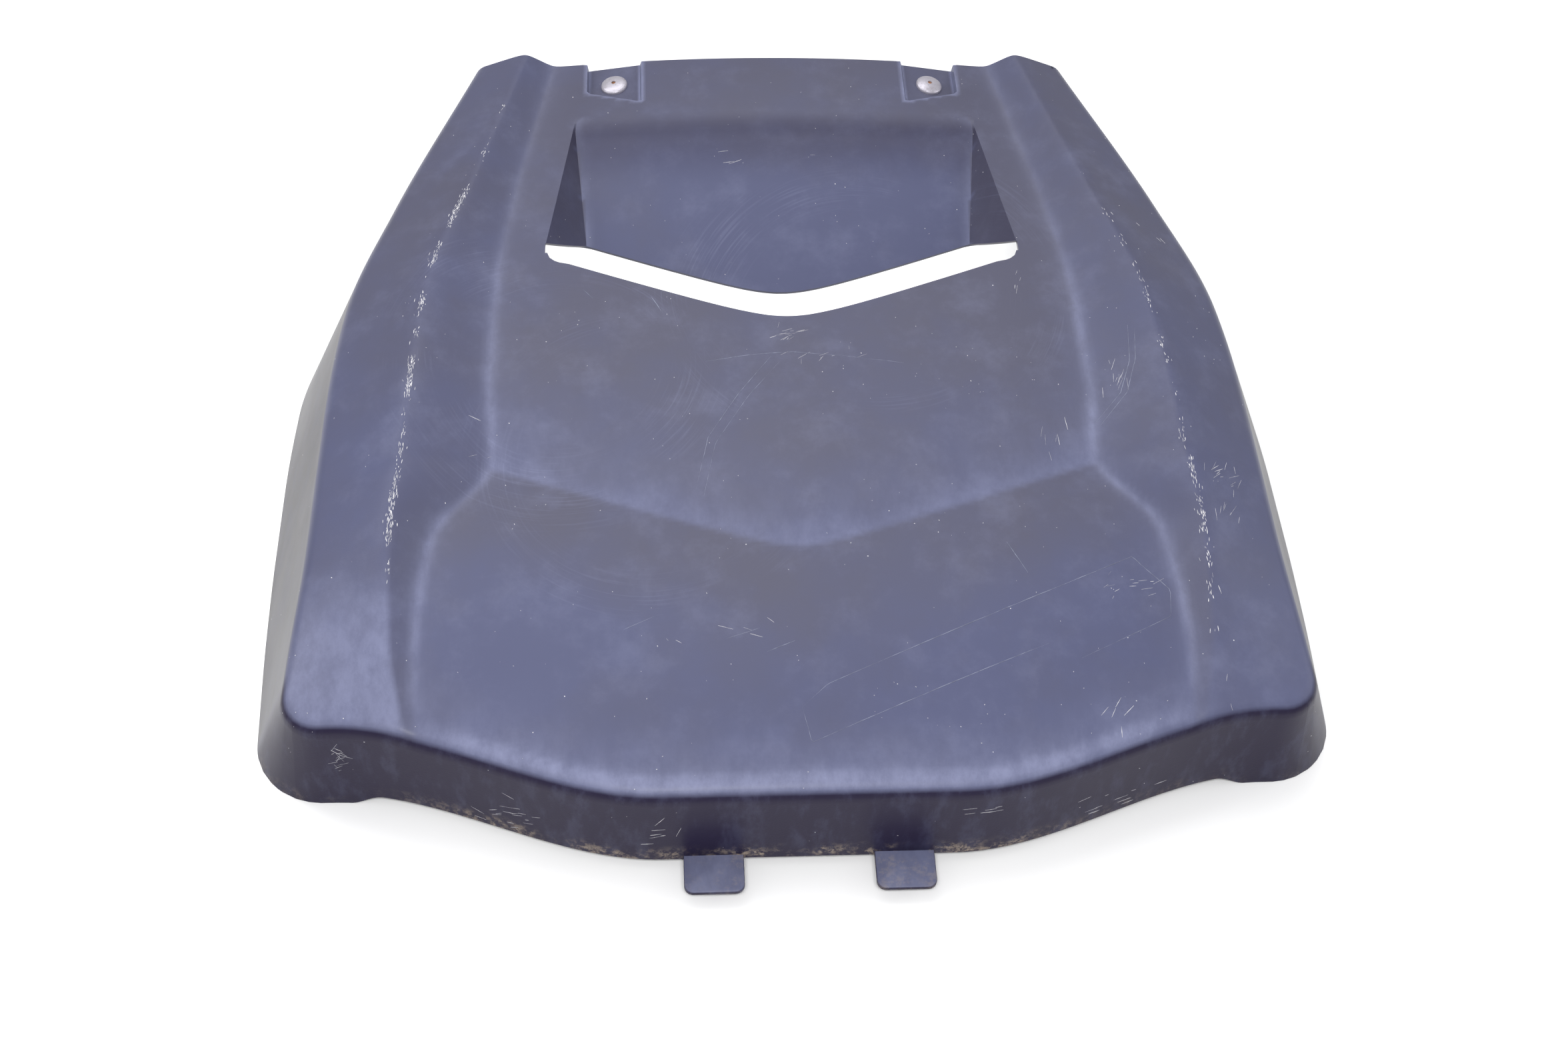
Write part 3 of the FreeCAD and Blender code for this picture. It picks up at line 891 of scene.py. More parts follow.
def grown(item: bpy.types.Object, tree: bpy.types.NodeTree, values: Dict[str, object]) -> bpy.types.Object:
    """Runs a geometry tree on a base object and keeps only its result, as a plain mesh.

    Args:
        item: Base object, removed afterwards.
        tree: Geometry tree.
        values: Values of the tree's named inputs.

    Returns:
        The grown object.
    """
    modifier = item.modifiers.new(tree.name, "NODES")
    modifier.node_group = tree
    for socket in tree.interface.items_tree:
        if socket.in_out == "INPUT" and socket.name in values:
            modifier[socket.identifier] = values[socket.name]
    graph = bpy.context.evaluated_depsgraph_get()
    mesh = bpy.data.meshes.new_from_object(item.evaluated_get(graph))
    item.modifiers.remove(modifier)
    bpy.data.objects.remove(item)
    return add_object(tree.name, mesh)


def add_sockets(tree: bpy.types.NodeTree, sockets: Dict[str, str]) -> None:
    """Gives a geometry tree its named inputs and its one output.

    Args:
        tree: Tree to extend.
        sockets: Kind of each input by name; the first is the geometry.
    """
    for name, kind in sockets.items():
        tree.interface.new_socket(name, in_out="INPUT", socket_type="NodeSocket" + kind)
    tree.interface.new_socket("Result", in_out="OUTPUT", socket_type="NodeSocketGeometry")


@dataclass(frozen=True)
class Flecks:
    """Small scratch flecks scattered over a rubbed surface; sizes in millimetres and degrees."""

    name: str
    mask: str
    density: float
    length: float
    width: float
    spread: float
    lumps: float
    seed: int
    thick: float = 0.25

    def tree(self) -> bpy.types.NodeTree:
        """Geometry tree that scatters flat flakes along the lay of the scratches.

        Returns:
            The tree.
        """
        tree = bpy.data.node_groups.new(self.name, "GeometryNodeTree")
        add_sockets(tree, {"Surface": "Geometry", "Density": "Float", "Length": "Float", "Width": "Float",
                           "Thickness": "Float", "Spread": "Float", "Lumps": "Float", "Seed": "Int",
                           "Finish": "Material"})
        s = NodeSketch(tree)
        given = s.node("NodeGroupInput").outputs
        lumps = s.node("ShaderNodeTexNoise")
        s.join(s.node("GeometryNodeInputPosition").outputs["Position"], lumps.inputs["Vector"])
        s.join(given["Lumps"], lumps.inputs["Scale"])
        share = s.math("MULTIPLY", s.stored(self.mask), s.spread(lumps.outputs["Fac"], 0.42, 0.62))
        scatter = s.node("GeometryNodeDistributePointsOnFaces", distribute_method="RANDOM")
        s.join(given["Surface"], scatter.inputs["Mesh"])
        s.join(s.math("MULTIPLY", share, given["Density"]), scatter.inputs["Density"])
        s.join(given["Seed"], scatter.inputs["Seed"])
        swing = s.math("MULTIPLY", given["Spread"], s.chance(-1.0, 1.0, self.seed + 1))
        angle = s.math("ADD", s.stored("lay"), swing)
        run = s.vector(s.math("SINE", angle), s.math("COSINE", angle), 0.0)
        upright = s.node("FunctionNodeAlignRotationToVector", axis="Z")
        s.join(scatter.outputs["Normal"], upright.inputs["Vector"])
        along = s.node("FunctionNodeAlignRotationToVector", axis="Y", pivot_axis="Z")
        s.join(upright.outputs["Rotation"], along.inputs["Rotation"])
        s.join(run, along.inputs["Vector"])
        flake = s.node("GeometryNodeMeshUVSphere")
        flake.inputs["Segments"].default_value = 6
        flake.inputs["Rings"].default_value = 4
        flake.inputs["Radius"].default_value = 0.5
        scale = s.vector(s.math("MULTIPLY", given["Width"], s.chance(0.4, 1.5, self.seed + 2)),
                         s.math("MULTIPLY", given["Length"], s.chance(0.3, 1.6, self.seed + 3)),
                         given["Thickness"])
        put = s.node("GeometryNodeInstanceOnPoints")
        s.join(scatter.outputs["Points"], put.inputs["Points"])
        s.join(flake.outputs["Mesh"], put.inputs["Instance"])
        s.join(along.outputs["Rotation"], put.inputs["Rotation"])
        s.join(scale, put.inputs["Scale"])
        real = s.node("GeometryNodeRealizeInstances")
        s.join(put.outputs["Instances"], real.inputs["Geometry"])
        coat = s.node("GeometryNodeSetMaterial")
        s.join(real.outputs["Geometry"], coat.inputs["Geometry"])
        s.join(given["Finish"], coat.inputs["Material"])
        s.join(coat.outputs["Geometry"], s.node("NodeGroupOutput").inputs["Result"])
        return tree

    def build(self, surface: bpy.types.Mesh, finish: bpy.types.Material) -> bpy.types.Object:
        """Scatters the flecks.

        Args:
            surface: Outside surface with its marks.
            finish: Finish of the flecks.

        Returns:
            The flecks as one mesh.
        """
        base = add_object(self.name + "_base", surface.copy())
        return grown(base, self.tree(), {
            "Density": self.density, "Length": self.length * MM, "Width": self.width * MM,
            "Thickness": self.thick * MM, "Spread": math.radians(self.spread), "Lumps": self.lumps,
            "Seed": self.seed, "Finish": finish})


@dataclass(frozen=True)
class Scratches:
    """Long hairline scratches drawn over the upper surface, in millimetres."""

    form: BonnetForm
    width: float = 0.55
    wobble: float = 0.5
    name: str = "long_scratches"
    routes: Tuple[Tuple[Tuple[float, float], ...], ...] = (
        ((-60.0, 315.0), (-26.0, 321.0), (0.0, 323.0), (38.0, 319.0), (80.0, 312.0)),
        ((-14.0, 319.0), (-38.0, 285.0), (-60.0, 248.0), (-69.0, 208.0)),
        ((-8.0, 314.0), (-31.0, 283.0), (-55.0, 243.0), (-64.0, 202.0)),
        ((210.0, 260.0), (230.0, 280.0), (239.0, 305.0), (242.0, 336.0)),
        ((214.0, 258.0), (234.0, 279.0), (243.0, 305.0), (246.0, 332.0)),
        ((-98.0, 378.0), (-91.0, 364.0)),
        ((-147.0, 386.0), (-140.0, 377.0)),
        ((-118.0, 103.0), (-98.0, 112.0)),
        ((-52.0, 94.0), (-30.0, 101.0)),
        ((-26.0, 84.0), (-8.0, 91.0)),
        ((138.0, 165.0), (150.0, 141.0)),
        ((-5.0, 46.0), (12.0, 61.0), (222.0, 154.0), (245.0, 129.0), (243.0, 110.0), (179.0, 79.0)),
        ((158.0, 89.0), (0.0, 23.0), (-5.0, 46.0)),
    )

    def drawn(self) -> bpy.types.Mesh:
        """Routes as chains of edges on the surface.

        Returns:
            The base mesh.
        """
        points: List[Tuple[float, float, float]] = []
        edges: List[Tuple[int, int]] = []
        for route in self.routes:
            stops = np.array(route)
            along = np.concatenate([[0.0], np.cumsum(np.hypot(*np.diff(stops, axis=0).T))])
            at = np.linspace(0.0, along[-1], max(3, int(along[-1] / 3.0)))
            x, y = np.interp(at, along, stops[:, 0]), np.interp(at, along, stops[:, 1])
            z = self.form.skin(x, y)
            first = len(points)
            points += list(zip(x * MM, (y - self.form.middle) * MM, z * MM))
            edges += [(first + k, first + k + 1) for k in range(len(at) - 1)]
        mesh = bpy.data.meshes.new(self.name)
        mesh.from_pydata(points, edges, [])
        return mesh

    def tree(self) -> bpy.types.NodeTree:
        """Geometry tree that turns the routes into thin tapered ridges.

        Returns:
            The tree.
        """
        tree = bpy.data.node_groups.new(self.name, "GeometryNodeTree")
        add_sockets(tree, {"Routes": "Geometry", "Width": "Float", "Wobble": "Float", "Finish": "Material"})
        s = NodeSketch(tree)
        given = s.node("NodeGroupInput").outputs
        lines = s.node("GeometryNodeMeshToCurve")
        s.join(given["Routes"], lines.inputs["Mesh"])
        shake = s.node("ShaderNodeTexNoise")
        s.join(s.node("GeometryNodeInputPosition").outputs["Position"], shake.inputs["Vector"])
        shake.inputs["Scale"].default_value = 70.0
        sway = s.math("MULTIPLY", s.math("SUBTRACT", shake.outputs["Fac"], 0.5), given["Wobble"])
        moved = s.node("GeometryNodeSetPosition")
        s.join(lines.outputs["Curve"], moved.inputs["Geometry"])
        s.join(s.vector(sway, sway, 0.0), moved.inputs["Offset"])
        t = s.node("GeometryNodeSplineParameter").outputs["Factor"]
        taper = s.math("MULTIPLY", s.math("MULTIPLY", t, s.math("SUBTRACT", 1.0, t)), 4.0)
        thick = s.math("MULTIPLY", s.spread(shake.outputs["Fac"], 0.35, 0.6, 0.35, 1.0),
                       s.math("MAXIMUM", s.math("SQRT", taper), 0.25))
        ring = s.node("GeometryNodeCurvePrimitiveCircle")
        ring.inputs["Resolution"].default_value = 6
        ring.inputs["Radius"].default_value = 0.5
        tube = s.node("GeometryNodeCurveToMesh")
        s.join(moved.outputs["Geometry"], tube.inputs["Curve"])
        s.join(ring.outputs["Curve"], tube.inputs["Profile Curve"])
        s.join(s.math("MULTIPLY", thick, given["Width"]), tube.inputs["Scale"])
        tube.inputs["Fill Caps"].default_value = True
        real = s.node("GeometryNodeRealizeInstances")
        s.join(tube.outputs["Mesh"], real.inputs["Geometry"])
        coat = s.node("GeometryNodeSetMaterial")
        s.join(real.outputs["Geometry"], coat.inputs["Geometry"])
        s.join(given["Finish"], coat.inputs["Material"])
        s.join(coat.outputs["Geometry"], s.node("NodeGroupOutput").inputs["Result"])
        return tree

    def build(self, finish: bpy.types.Material) -> bpy.types.Object:
        """Draws the scratches.

        Args:
            finish: Finish of the scratches.

        Returns:
            The scratches as one mesh.
        """
        base = add_object(self.name + "_base", self.drawn())
        return grown(base, self.tree(), {"Width": self.width * MM, "Wobble": 2 * self.wobble * MM,
                                         "Finish": finish})


@dataclass(frozen=True)
class Scuff:
    """A rubbed patch, in millimetres and degrees; its second place is a height on the front face."""

    x: float
    place: float
    across: float
    along: float
    lay: float
    strength: float
    zone: Zone = Zone.TOP


@dataclass
class Shell:
    """The one-piece moulded skin: deck, ridges, duct, pads, front face and skirts."""

    form: BonnetForm
    step: float = 3.6
    rim_rows: int = 6
    rim_turn: float = 70.0
    rim_land: float = 1.5
    sharp_turn: float = 38.0
    corner_run: Tuple[float, float] = (36.0, 50.0)
    face_run: Tuple[float, float] = (100.0, 140.0)
    speck_run: Tuple[float, float] = (615.0, 628.0)
    skirt_rows: int = 15
    surface: bpy.types.Mesh | None = None
    crest_span_left: Tuple[float, float] = (150.0, 590.0)
    crest_span_right: Tuple[float, float] = (110.0, 470.0)
    scuffs: Tuple[Scuff, ...] = (
        Scuff(0.0, 341.0, 13.0, 4.0, 80.0, 0.9),
        Scuff(20.0, 320.0, 60.0, 2.5, 80.0, 0.14),
        Scuff(229.0, 294.0, 5.0, 9.0, 20.0, 0.6),
        Scuff(179.0, 247.0, 8.0, 12.0, 2.0, 0.30),
        Scuff(292.0, 211.0, 9.0, 7.0, 60.0, 0.6),
        Scuff(292.0, 182.0, 7.0, 6.0, 30.0, 0.5),
        Scuff(281.0, 129.0, 6.0, 6.0, -30.0, 0.6),
        Scuff(200.0, 42.0, 10.0, 6.0, 35.0, 0.45),
        Scuff(278.0, 53.0, 6.0, 8.0, -20.0, 0.5),
        Scuff(267.0, 445.0, 5.0, 4.0, -50.0, 0.6),
        Scuff(284.0, 433.0, 5.0, 4.0, -50.0, 0.6),
        Scuff(-217.0, 236.0, 10.0, 5.0, 70.0, 0.20),
        Scuff(-223.0, 271.0, 9.0, 10.0, 120.0, 0.12),
        Scuff(-215.0, 407.0, 3.0, 6.0, 10.0, 0.35),
        Scuff(170.0, 393.0, 3.0, 10.0, 10.0, 0.30),
        Scuff(221.0, 134.0, 14.0, 9.0, 75.0, 0.35),
        Scuff(-35.0, 97.0, 45.0, 8.0, -60.0, 0.06),
        Scuff(-5.0, 532.0, 40.0, 10.0, 80.0, 0.05),
        Scuff(-302.0, 48.0, 4.0, 16.0, 8.0, 0.8, Zone.FACE),
        Scuff(-190.0, 30.0, 18.0, 12.0, 40.0, 0.35, Zone.FACE),
        Scuff(-98.0, 36.0, 9.0, 9.0, 25.0, 0.35, Zone.FACE),
        Scuff(110.0, 58.0, 8.0, 7.0, 60.0, 0.5, Zone.FACE),
        Scuff(200.0, 24.0, 26.0, 6.0, 80.0, 0.25, Zone.FACE),
    )

    def plan(self) -> PlanMesh:
        """Grid of the upper surface, split along every line of the form.

        Returns:
            The plan mesh, cut at the start of the rim rounding and at the slot.
        """
        f = self.form
        mesh = PlanMesh(344.0, -14.0, f.rear, self.step)
        start = self.rim_start()
        mesh.split(lambda x, y: f.inset(x, y, False) - start)
        mesh.keep(lambda x, y: f.inset(x, y, False) > start)
        for beside in (-2.2, 0.0, 2.2):
            mesh.split(lambda x, y: x - f.crest_at(y) - beside)
            mesh.split(lambda x, y: x - f.valley_at(y) - beside)
        mesh.split(lambda x, y: y - f.crease_at(x), lambda x, y: x < f.valley_at(y) + 4.0)
        near = lambda x, y: (x < 180.0) & (y > 350.0) & (y < 612.0)
        mesh.split(lambda x, y: y - f.slot_front(x), lambda x, y: (x < 175.5) & (y > 350.0) & (y < 440.0))
        mesh.split(lambda x, y: y - f.slot_rear(x), lambda x, y: (x < 175.5) & (y > 415.0) & (y < 475.0))
        mesh.keep(lambda x, y: ~((x < 175.5) & (y > f.slot_front(x)) & (y < f.slot_rear(x))))
        duct = lambda x, y: near(x, y) & (y > f.slot_rear(x) - 1.0) & (y < f.hinge_end)
        mesh.split(lambda x, y: x - f.duct_top_line(y), duct)
        mesh.split(lambda x, y: x - f.duct_low_line(y), duct)
        pad = lambda x, y: (x > 96.0) & (x < 155.0) & (y > 576.0)
        mesh.split(lambda x, y: f.pad_inside(x, y), pad)
        mesh.split(lambda x, y: f.pad_inside(x, y) - 1.2, pad)
        return mesh

    def rim_start(self) -> float:
        """Distance inside the outline at which the rounded rim starts."""
        return self.form.rim_round * math.sin(math.radians(self.rim_turn)) + self.rim_land

    def march(self, x: Array, y: Array, foot: bool) -> Tuple[Array, Array]:
        """Moves points outward to the outline.

        Args:
            x: Distances from the centre line.
            y: Places along the bonnet.
            foot: True for the ground outline, False for the rim.

        Returns:
            The points on the outline.
        """
        f = self.form
        gx = f.inset(x + 0.5, y, False) - f.inset(x - 0.5, y, False)
        gy = f.inset(x, y + 0.5, False) - f.inset(x, y - 0.5, False)
        gy = gy * (1 - fade(y, 540.0, 625.0))
        gx = np.where(x < ON_CENTRE, 0.0, gx)
        size = np.hypot(gx, gy)
        dx, dy = -gx / size, -gy / size
        for _ in range(8):
            here = f.inset(x, y, foot)
            ahead = f.inset(x + dx, y + dy, foot)
            step = here / np.maximum(here - ahead, 0.2)
            x, y = x + dx * step, y + dy * step
        return x, y

    def wear(self, x: Array, y: Array, z: Array, rim: Array, face: Array) -> Dict[str, Array]:
        """Masks of the fading, painted shade, painted highlights and reflections, and dirt over the shell.

        Args:
            x: Distances from the centre line, with sign.
            y: Places along the bonnet.
            z: Heights.
            rim: 1 on the rounded rim, fading to 0; not used.
            face: 1 on the front face and skirts, 0 above.

        Returns:
            Attribute values by name.
        """
        f = self.form
        u = np.abs(x)
        off_crest = u - f.crest_at(y)
        off_valley = u - f.valley_at(y)
        off_crease = y - f.crease_at(x)
        on_deck = 1 - fade(off_valley, -3.0, 3.0)
        on_slope = (1 - on_deck) * (1 - fade(off_crest, -3.0, 3.0))
        outside = fade(off_crest, -3.0, 3.0)
        ahead = 1 - fade(off_crease, -3.0, 3.0)
        in_duct = (u < f.duct_low_line(y)) & (y > f.slot_rear(x) - 2.0) & (y < f.hinge_end)
        # Blue tone: a painted sheen makes the deck bluer and lighter towards the crease, and the panel ahead of it
        # bluer and lighter towards the rim; slopes, outer slopes and the duct get their own shares, the duct
        # greyer towards the hinge.
        behind_crease = np.exp(-np.maximum(off_crease, 0.0) / 60.0)
        deck_tone = np.where(in_duct, 0.85 - 0.75 * fade(y, 525.0, 575.0), 0.15 + 0.6 * behind_crease)
        panel_tone = 0.10 + 0.75 * fade(-off_crease, 25.0, 110.0)
        tone = on_deck * (ahead * panel_tone + (1 - ahead) * deck_tone)
        tone += on_slope * 0.5 + outside * (0.25 + 0.55 * (1 - fade(y, 200.0, 400.0)))
        # Painted highlight: a pale line along each valley, strongest towards the front, over a faint wider band.
        low_valley = 1 - fade(y, 330.0, 480.0)
        chalk_and_sheen = (0.20 + 0.35 * low_valley) * np.exp(-(off_valley / 4.0) ** 2) * fade(y, 40.0, 90.0)
        chalk_and_sheen += 0.10 * np.exp(-(off_valley / 16.0) ** 2)
        # Painted sheen: the deck lightens just behind the crease, and the panel ahead of it lightens towards the
        # front rim.
        chalk_and_sheen += 0.52 * on_deck * (1 - ahead) * np.exp(-np.maximum(off_crease, 0.0) / 26.0)
        chalk_and_sheen += 0.25 * on_deck * ahead * (1 - face) * (1 - fade(y - f.front_line(x), 8.0, 60.0))
        # Painted highlight: a bright line along the top of the front rim over its middle, with a fainter band
        # running back from it.
        behind_rim = np.maximum(f.inset(u, y, False) - 9.0, 0.0)
        mid_rim = (1 - fade(u, 190.0, 270.0)) * (1 - fade(y, 60.0, 95.0))
        chalk_and_sheen += mid_rim * (0.90 * np.exp(-(behind_rim / 5.0) ** 2) + 0.20 * np.exp(-behind_rim / 26.0))
        # Painted reflection: the front part of the left outer slope is lightened as if reflecting a lamp; the
        # right side gets only a trace.
        chalk_and_sheen += np.where(x < 0, 0.75, 0.10) * outside * (1 - fade(y, 95.0, 165.0))
        chalk_and_sheen += np.where(in_duct, 0.50 * np.exp(-((f.duct_low_line(y) - u) / 5.0) ** 2), 0.0)
        pad_edge = np.where(y > 570.0, np.abs(f.pad_inside(x, y) - 0.6), 9.0)
        chalk_and_sheen += 0.9 * (1 - fade(pad_edge, 0.7, 2.2))
        # Painted shade: the front face and the lower part of the rim fillet darken towards the shade colour,
        # except at the side corners.
        on_side = fade(y - f.front_line(x), *self.corner_run)
        front = fade(face, 0.34, 0.70) * (1 - on_side)
        # The same shade colour also darkens the duct floor just in front of the hinge.
        front += np.where(in_duct, 0.40 * fade(y, 505.0, 545.0) * (1 - fade(y, 558.0, 572.0)), 0.0)
        # Skirt mask: where the side skirts take the painted floor reflection instead of the face shade.
        skirt = fade(face, 0.6, 1.0) * on_side
        near_foot = 1 - fade(z - f.relief(u), 2.0, 15.0)
        sunk = (u < f.duct_top_line(y) + 1.5) & (y > f.slot_rear(x) - 4.0) & (y < f.hinge_end)
        grubby = 0.9 * (1 - fade(u, 60.0, 210.0)) + 0.7 * np.exp(-((x + 195.0) / 35.0) ** 2) + 0.15
        return {"blue": np.clip(tone, 0, 1), "chalk_and_sheen": np.clip(chalk_and_sheen, 0, 1) * (1 - face), "front": front,
                "skirt": skirt, "soil": np.clip(front * near_foot * grubby, 0, 1),
                "sunk": np.where(sunk, 1.0, 0.0)}

    def marks(self, x: Array, y: Array, z: Array, face: Array) -> Dict[str, Array]:
        """Where scratch flecks lie, and which way they run.

        Args:
            x: Distances from the centre line, with sign.
            y: Places along the bonnet.
            z: Heights.
            face: 1 on the front face and skirts, 0 above.

        Returns:
            Attribute values by name.
        """
        f = self.form
        span = np.where(x < 0,
                        fade(y, self.crest_span_left[0] - 20, self.crest_span_left[0] + 20)
                        * (1 - fade(y, self.crest_span_left[1] - 60, self.crest_span_left[1])),
                        0.55 * fade(y, self.crest_span_right[0] - 20, self.crest_span_right[0] + 20)
                        * (1 - fade(y, self.crest_span_right[1] - 60, self.crest_span_right[1])))
        crest = np.exp(-((np.abs(x) - f.crest_at(y)) / 1.4) ** 2) * span * (1 - face)
        scuff = np.zeros_like(x)
        lay = np.arctan(np.sign(x) * (f.crest_at(y + 1.0) - f.crest_at(y - 1.0)) / 2)
        for patch in self.scuffs:
            level = z if patch.zone is Zone.FACE else y
            on = face * (1 - fade(y, *self.face_run)) if patch.zone is Zone.FACE else 1 - face
            weight = np.exp(-((x - patch.x) / patch.across) ** 2 - ((level - patch.place) / patch.along) ** 2) * on
            scuff = np.maximum(scuff, weight * patch.strength)
            share = np.clip(weight * 4.0, 0.0, 1.0)
            lay = lay * (1 - share) + math.radians(patch.lay) * share
        speck = (1.0 - 0.7 * face) * (1 - fade(y, *self.speck_run))
        return {"crest": crest, "scuff": scuff, "lay": lay, "speck": speck}

    def build(self, outside: bpy.types.Material, inside: bpy.types.Material) -> bpy.types.Object:
        """Builds the shell.

        Args:
            outside: Finish of the outside.
            inside: Finish of the underside.

        Returns:
            The shell object.
        """
        f = self.form
        plan = self.plan()
        points = np.array(plan.points)
        xs, ys = list(points[:, 0]), list(points[:, 1])
        zs = list(f.skin(points[:, 0], points[:, 1]))
        rims = [0.0] * len(xs)
        fronts = [0.0] * len(xs)
        faces = list(plan.faces)
        start = self.rim_start()
        inset = f.inset(points[:, 0], points[:, 1], False)
        edges = [(a, b) for a, b in plan.open_edges()
                 if abs(inset[a] - start) < 1.0 and abs(inset[b] - start) < 1.0
                 and max(points[a, 0], points[b, 0]) > ON_CENTRE]
        loop = sorted({k for edge in edges for k in edge})
        px, py = points[loop, 0], points[loop, 1]
        ox, oy = self.march(px, py, False)
        bx, by = self.march(ox, oy, True)
        rows: List[Array] = [np.array(loop)]
        columns: List[Tuple[Array, Array, Array, float, float]] = []
        for k in range(self.rim_rows + 1):
            turn = math.radians(self.rim_turn * k / self.rim_rows)
            share = (math.sin(math.radians(self.rim_turn)) - math.sin(turn)) * f.rim_round / start
            rx, ry = ox + (px - ox) * share, oy + (py - oy) * share
            drop = f.rim_round * (1 - math.cos(turn))
            columns.append((rx, ry, f.top(rx, ry) - drop, 1.0 - abs(k / self.rim_rows - 0.5), k / self.rim_rows))
        high = columns[-1][2]
        for k in range(1, self.skirt_rows + 1):
            t = k / self.skirt_rows
            low = np.where(by < 90.0, f.relief(bx), 0.0)
            z = high + (low - high) * t
            share = (high - z) / high
            columns.append((ox + (bx - ox) * share, oy + (by - oy) * share, z, max(0.0, 0.4 - t * 3), 1.0))
        for rx, ry, rz, rim, front in columns:
            rows.append(np.arange(len(xs), len(xs) + len(loop)))
            xs += list(rx)
            ys += list(np.minimum(ry, f.rear))
            zs += list(rz)
            rims += [rim] * len(loop)
            fronts += [front] * len(loop)
        index = {vertex: k for k, vertex in enumerate(loop)}
        for a, b in edges:
            i, j = index[a], index[b]
            for upper, lower in zip(rows[:-1], rows[1:]):
                faces.append([int(upper[j]), int(upper[i]), int(lower[i]), int(lower[j])])
        return self.dress(np.array(xs), np.array(ys), np.array(zs), np.array(rims), np.array(fronts),
                          faces, outside, inside)

    def dress(self, x: Array, y: Array, z: Array, rim: Array, front: Array, faces: List[List[int]],
              outside: bpy.types.Material, inside: bpy.types.Material) -> bpy.types.Object:
        """Mirrors the half shell, gives it its wall and wear, and makes the object.

        Args:
            x: Distances from the centre line of the right half.
            y: Places along the bonnet.
            z: Heights.
            rim: Rim mask.
            front: Front face and skirt mask.
            faces: Faces of the right half.
            outside: Finish of the outside.
            inside: Finish of the underside.

        Returns:
            The shell object.
        """
        count = len(x)
        twin = np.where(np.abs(x) < ON_CENTRE, np.arange(count), np.arange(count) + count)
        x2 = np.concatenate([x, -x])
        y2, z2 = np.tile(y, 2), np.tile(z, 2)
        both = faces + [[int(twin[k]) for k in reversed(face)] for face in faces]
        used = np.zeros(2 * count, bool)
        for face in both:
            used[face] = True
        number = np.cumsum(used) - 1
        mesh = bpy.data.meshes.new("shell_skin")
        place = np.stack([x2, y2 - self.form.middle, z2], 1)[used] * MM
        mesh.from_pydata(place.tolist(), [], [[int(number[k]) for k in face] for face in both])
        rim2, front2 = np.tile(rim, 2), np.tile(front, 2)
        set_attributes(mesh, {name: value[used] for name, value in self.wear(x2, y2, z2, rim2, front2).items()})
        mesh.validate()
        mesh.update()
        self.surface = mesh.copy()
        set_attributes(self.surface, {name: value[used] for name, value in self.marks(x2, y2, z2, front2).items()})
        mesh.materials.append(outside)
        mesh.materials.append(inside)
        item = add_object("shell_skin", mesh)
        wall = item.modifiers.new("wall", "SOLIDIFY")
        wall.thickness = self.form.wall * MM
        wall.offset = -1.0
        wall.use_even_offset = False
        wall.material_offset = 1
        wall.material_offset_rim = 0
        graph = bpy.context.evaluated_depsgraph_get()
        solid = bpy.data.meshes.new_from_object(item.evaluated_get(graph))
        item.modifiers.clear()
        item.data = solid
        flat = np.zeros(len(solid.vertices) * 3, np.float32)
        solid.vertices.foreach_get("co", flat)
        spots = flat.reshape(-1, 3)
        spots[:, 2] = np.maximum(spots[:, 2], 0.0)
        spots[:, 1] = np.minimum(spots[:, 1], (self.form.rear - self.form.middle) * MM)
        solid.vertices.foreach_set("co", spots.ravel())
        solid.polygons.foreach_set("use_smooth", [True] * len(solid.polygons))
        solid.set_sharp_from_angle(angle=math.radians(self.sharp_turn))
        return item


@dataclass
class FrontTabs:
    """Flat locating tabs under the front face."""

    form: BonnetForm
    offset: float = 62.0
    width: float = 39.0
    root: float = 6.0
    thick: float = 3.5
    corner: float = 6.0

    def outline(self) -> List[Tuple[float, float]]:
        """Plan outline of one tab about its own centre line.

        Returns:
            Points in order.
        """
        half = self.width / 2
        tip = -self.form.tab_tip
        points = [(-half, -self.root), (-half, tip + self.corner)]
        for k in range(1, 9):
            a = math.pi + math.pi / 2 * k / 8
            points.append((-half + self.corner + self.corner * math.cos(a),
                           tip + self.corner + self.corner * math.sin(a)))
        return points + [(-x, y) for x, y in reversed(points)]

    def build(self, finish: bpy.types.Material) -> bpy.types.Object:
        """Builds both tabs as one object.

        Args:
            finish: Finish of the tabs.

        Returns:
            The tabs.
        """
        outline = self.outline()
        count = len(outline)
        points: List[Tuple[float, float, float]] = []
        faces: List[List[int]] = []
        for side in Side:
            first = len(points)
            for inset, z in ((0.6, 0.0), (0.0, 0.6), (0.0, self.thick - 0.6), (0.6, self.thick)):
                for x, y in outline:
                    shrink = 1 - inset / (self.width / 2)
                    points.append((side.value * self.offset + x * shrink,
                                   y + (inset if y < -self.form.tab_tip + self.corner else 0.0)
                                   - self.form.middle, z + self.form.relief_height))
            for ring in range(3):
                for k in range(count):
                    a = first + ring * count + k
                    b = first + ring * count + (k + 1) % count
                    faces.append([a, b, b + count, a + count])
            faces.append([first + k for k in reversed(range(count))])
            faces.append([first + 3 * count + k for k in range(count)])
        mesh = bpy.data.meshes.new("front_tabs")
        mesh.from_pydata([(x * MM, y * MM, z * MM) for x, y, z in points], [], faces)
        even = np.ones(len(points))
        upper = np.array([p[2] for p in points]) > self.form.relief_height + self.thick - 0.3
        # Painted shade on the sides and underside of the tabs, whose tops stay lit; the whole tab takes half the
        # pale chalk colour.
        set_attributes(mesh, {"blue": even * 0.8, "chalk_and_sheen": even * 0.5, "front": np.where(upper, 0.0, 1.0),
                              "skirt": even * 0.0, "soil": even * 0.2})
        mesh.materials.append(finish)
        mesh.update()
        mesh.polygons.foreach_set("use_smooth", [True] * len(mesh.polygons))
        mesh.set_sharp_from_angle(angle=math.radians(50.0))
        return add_object("front_tabs", mesh)


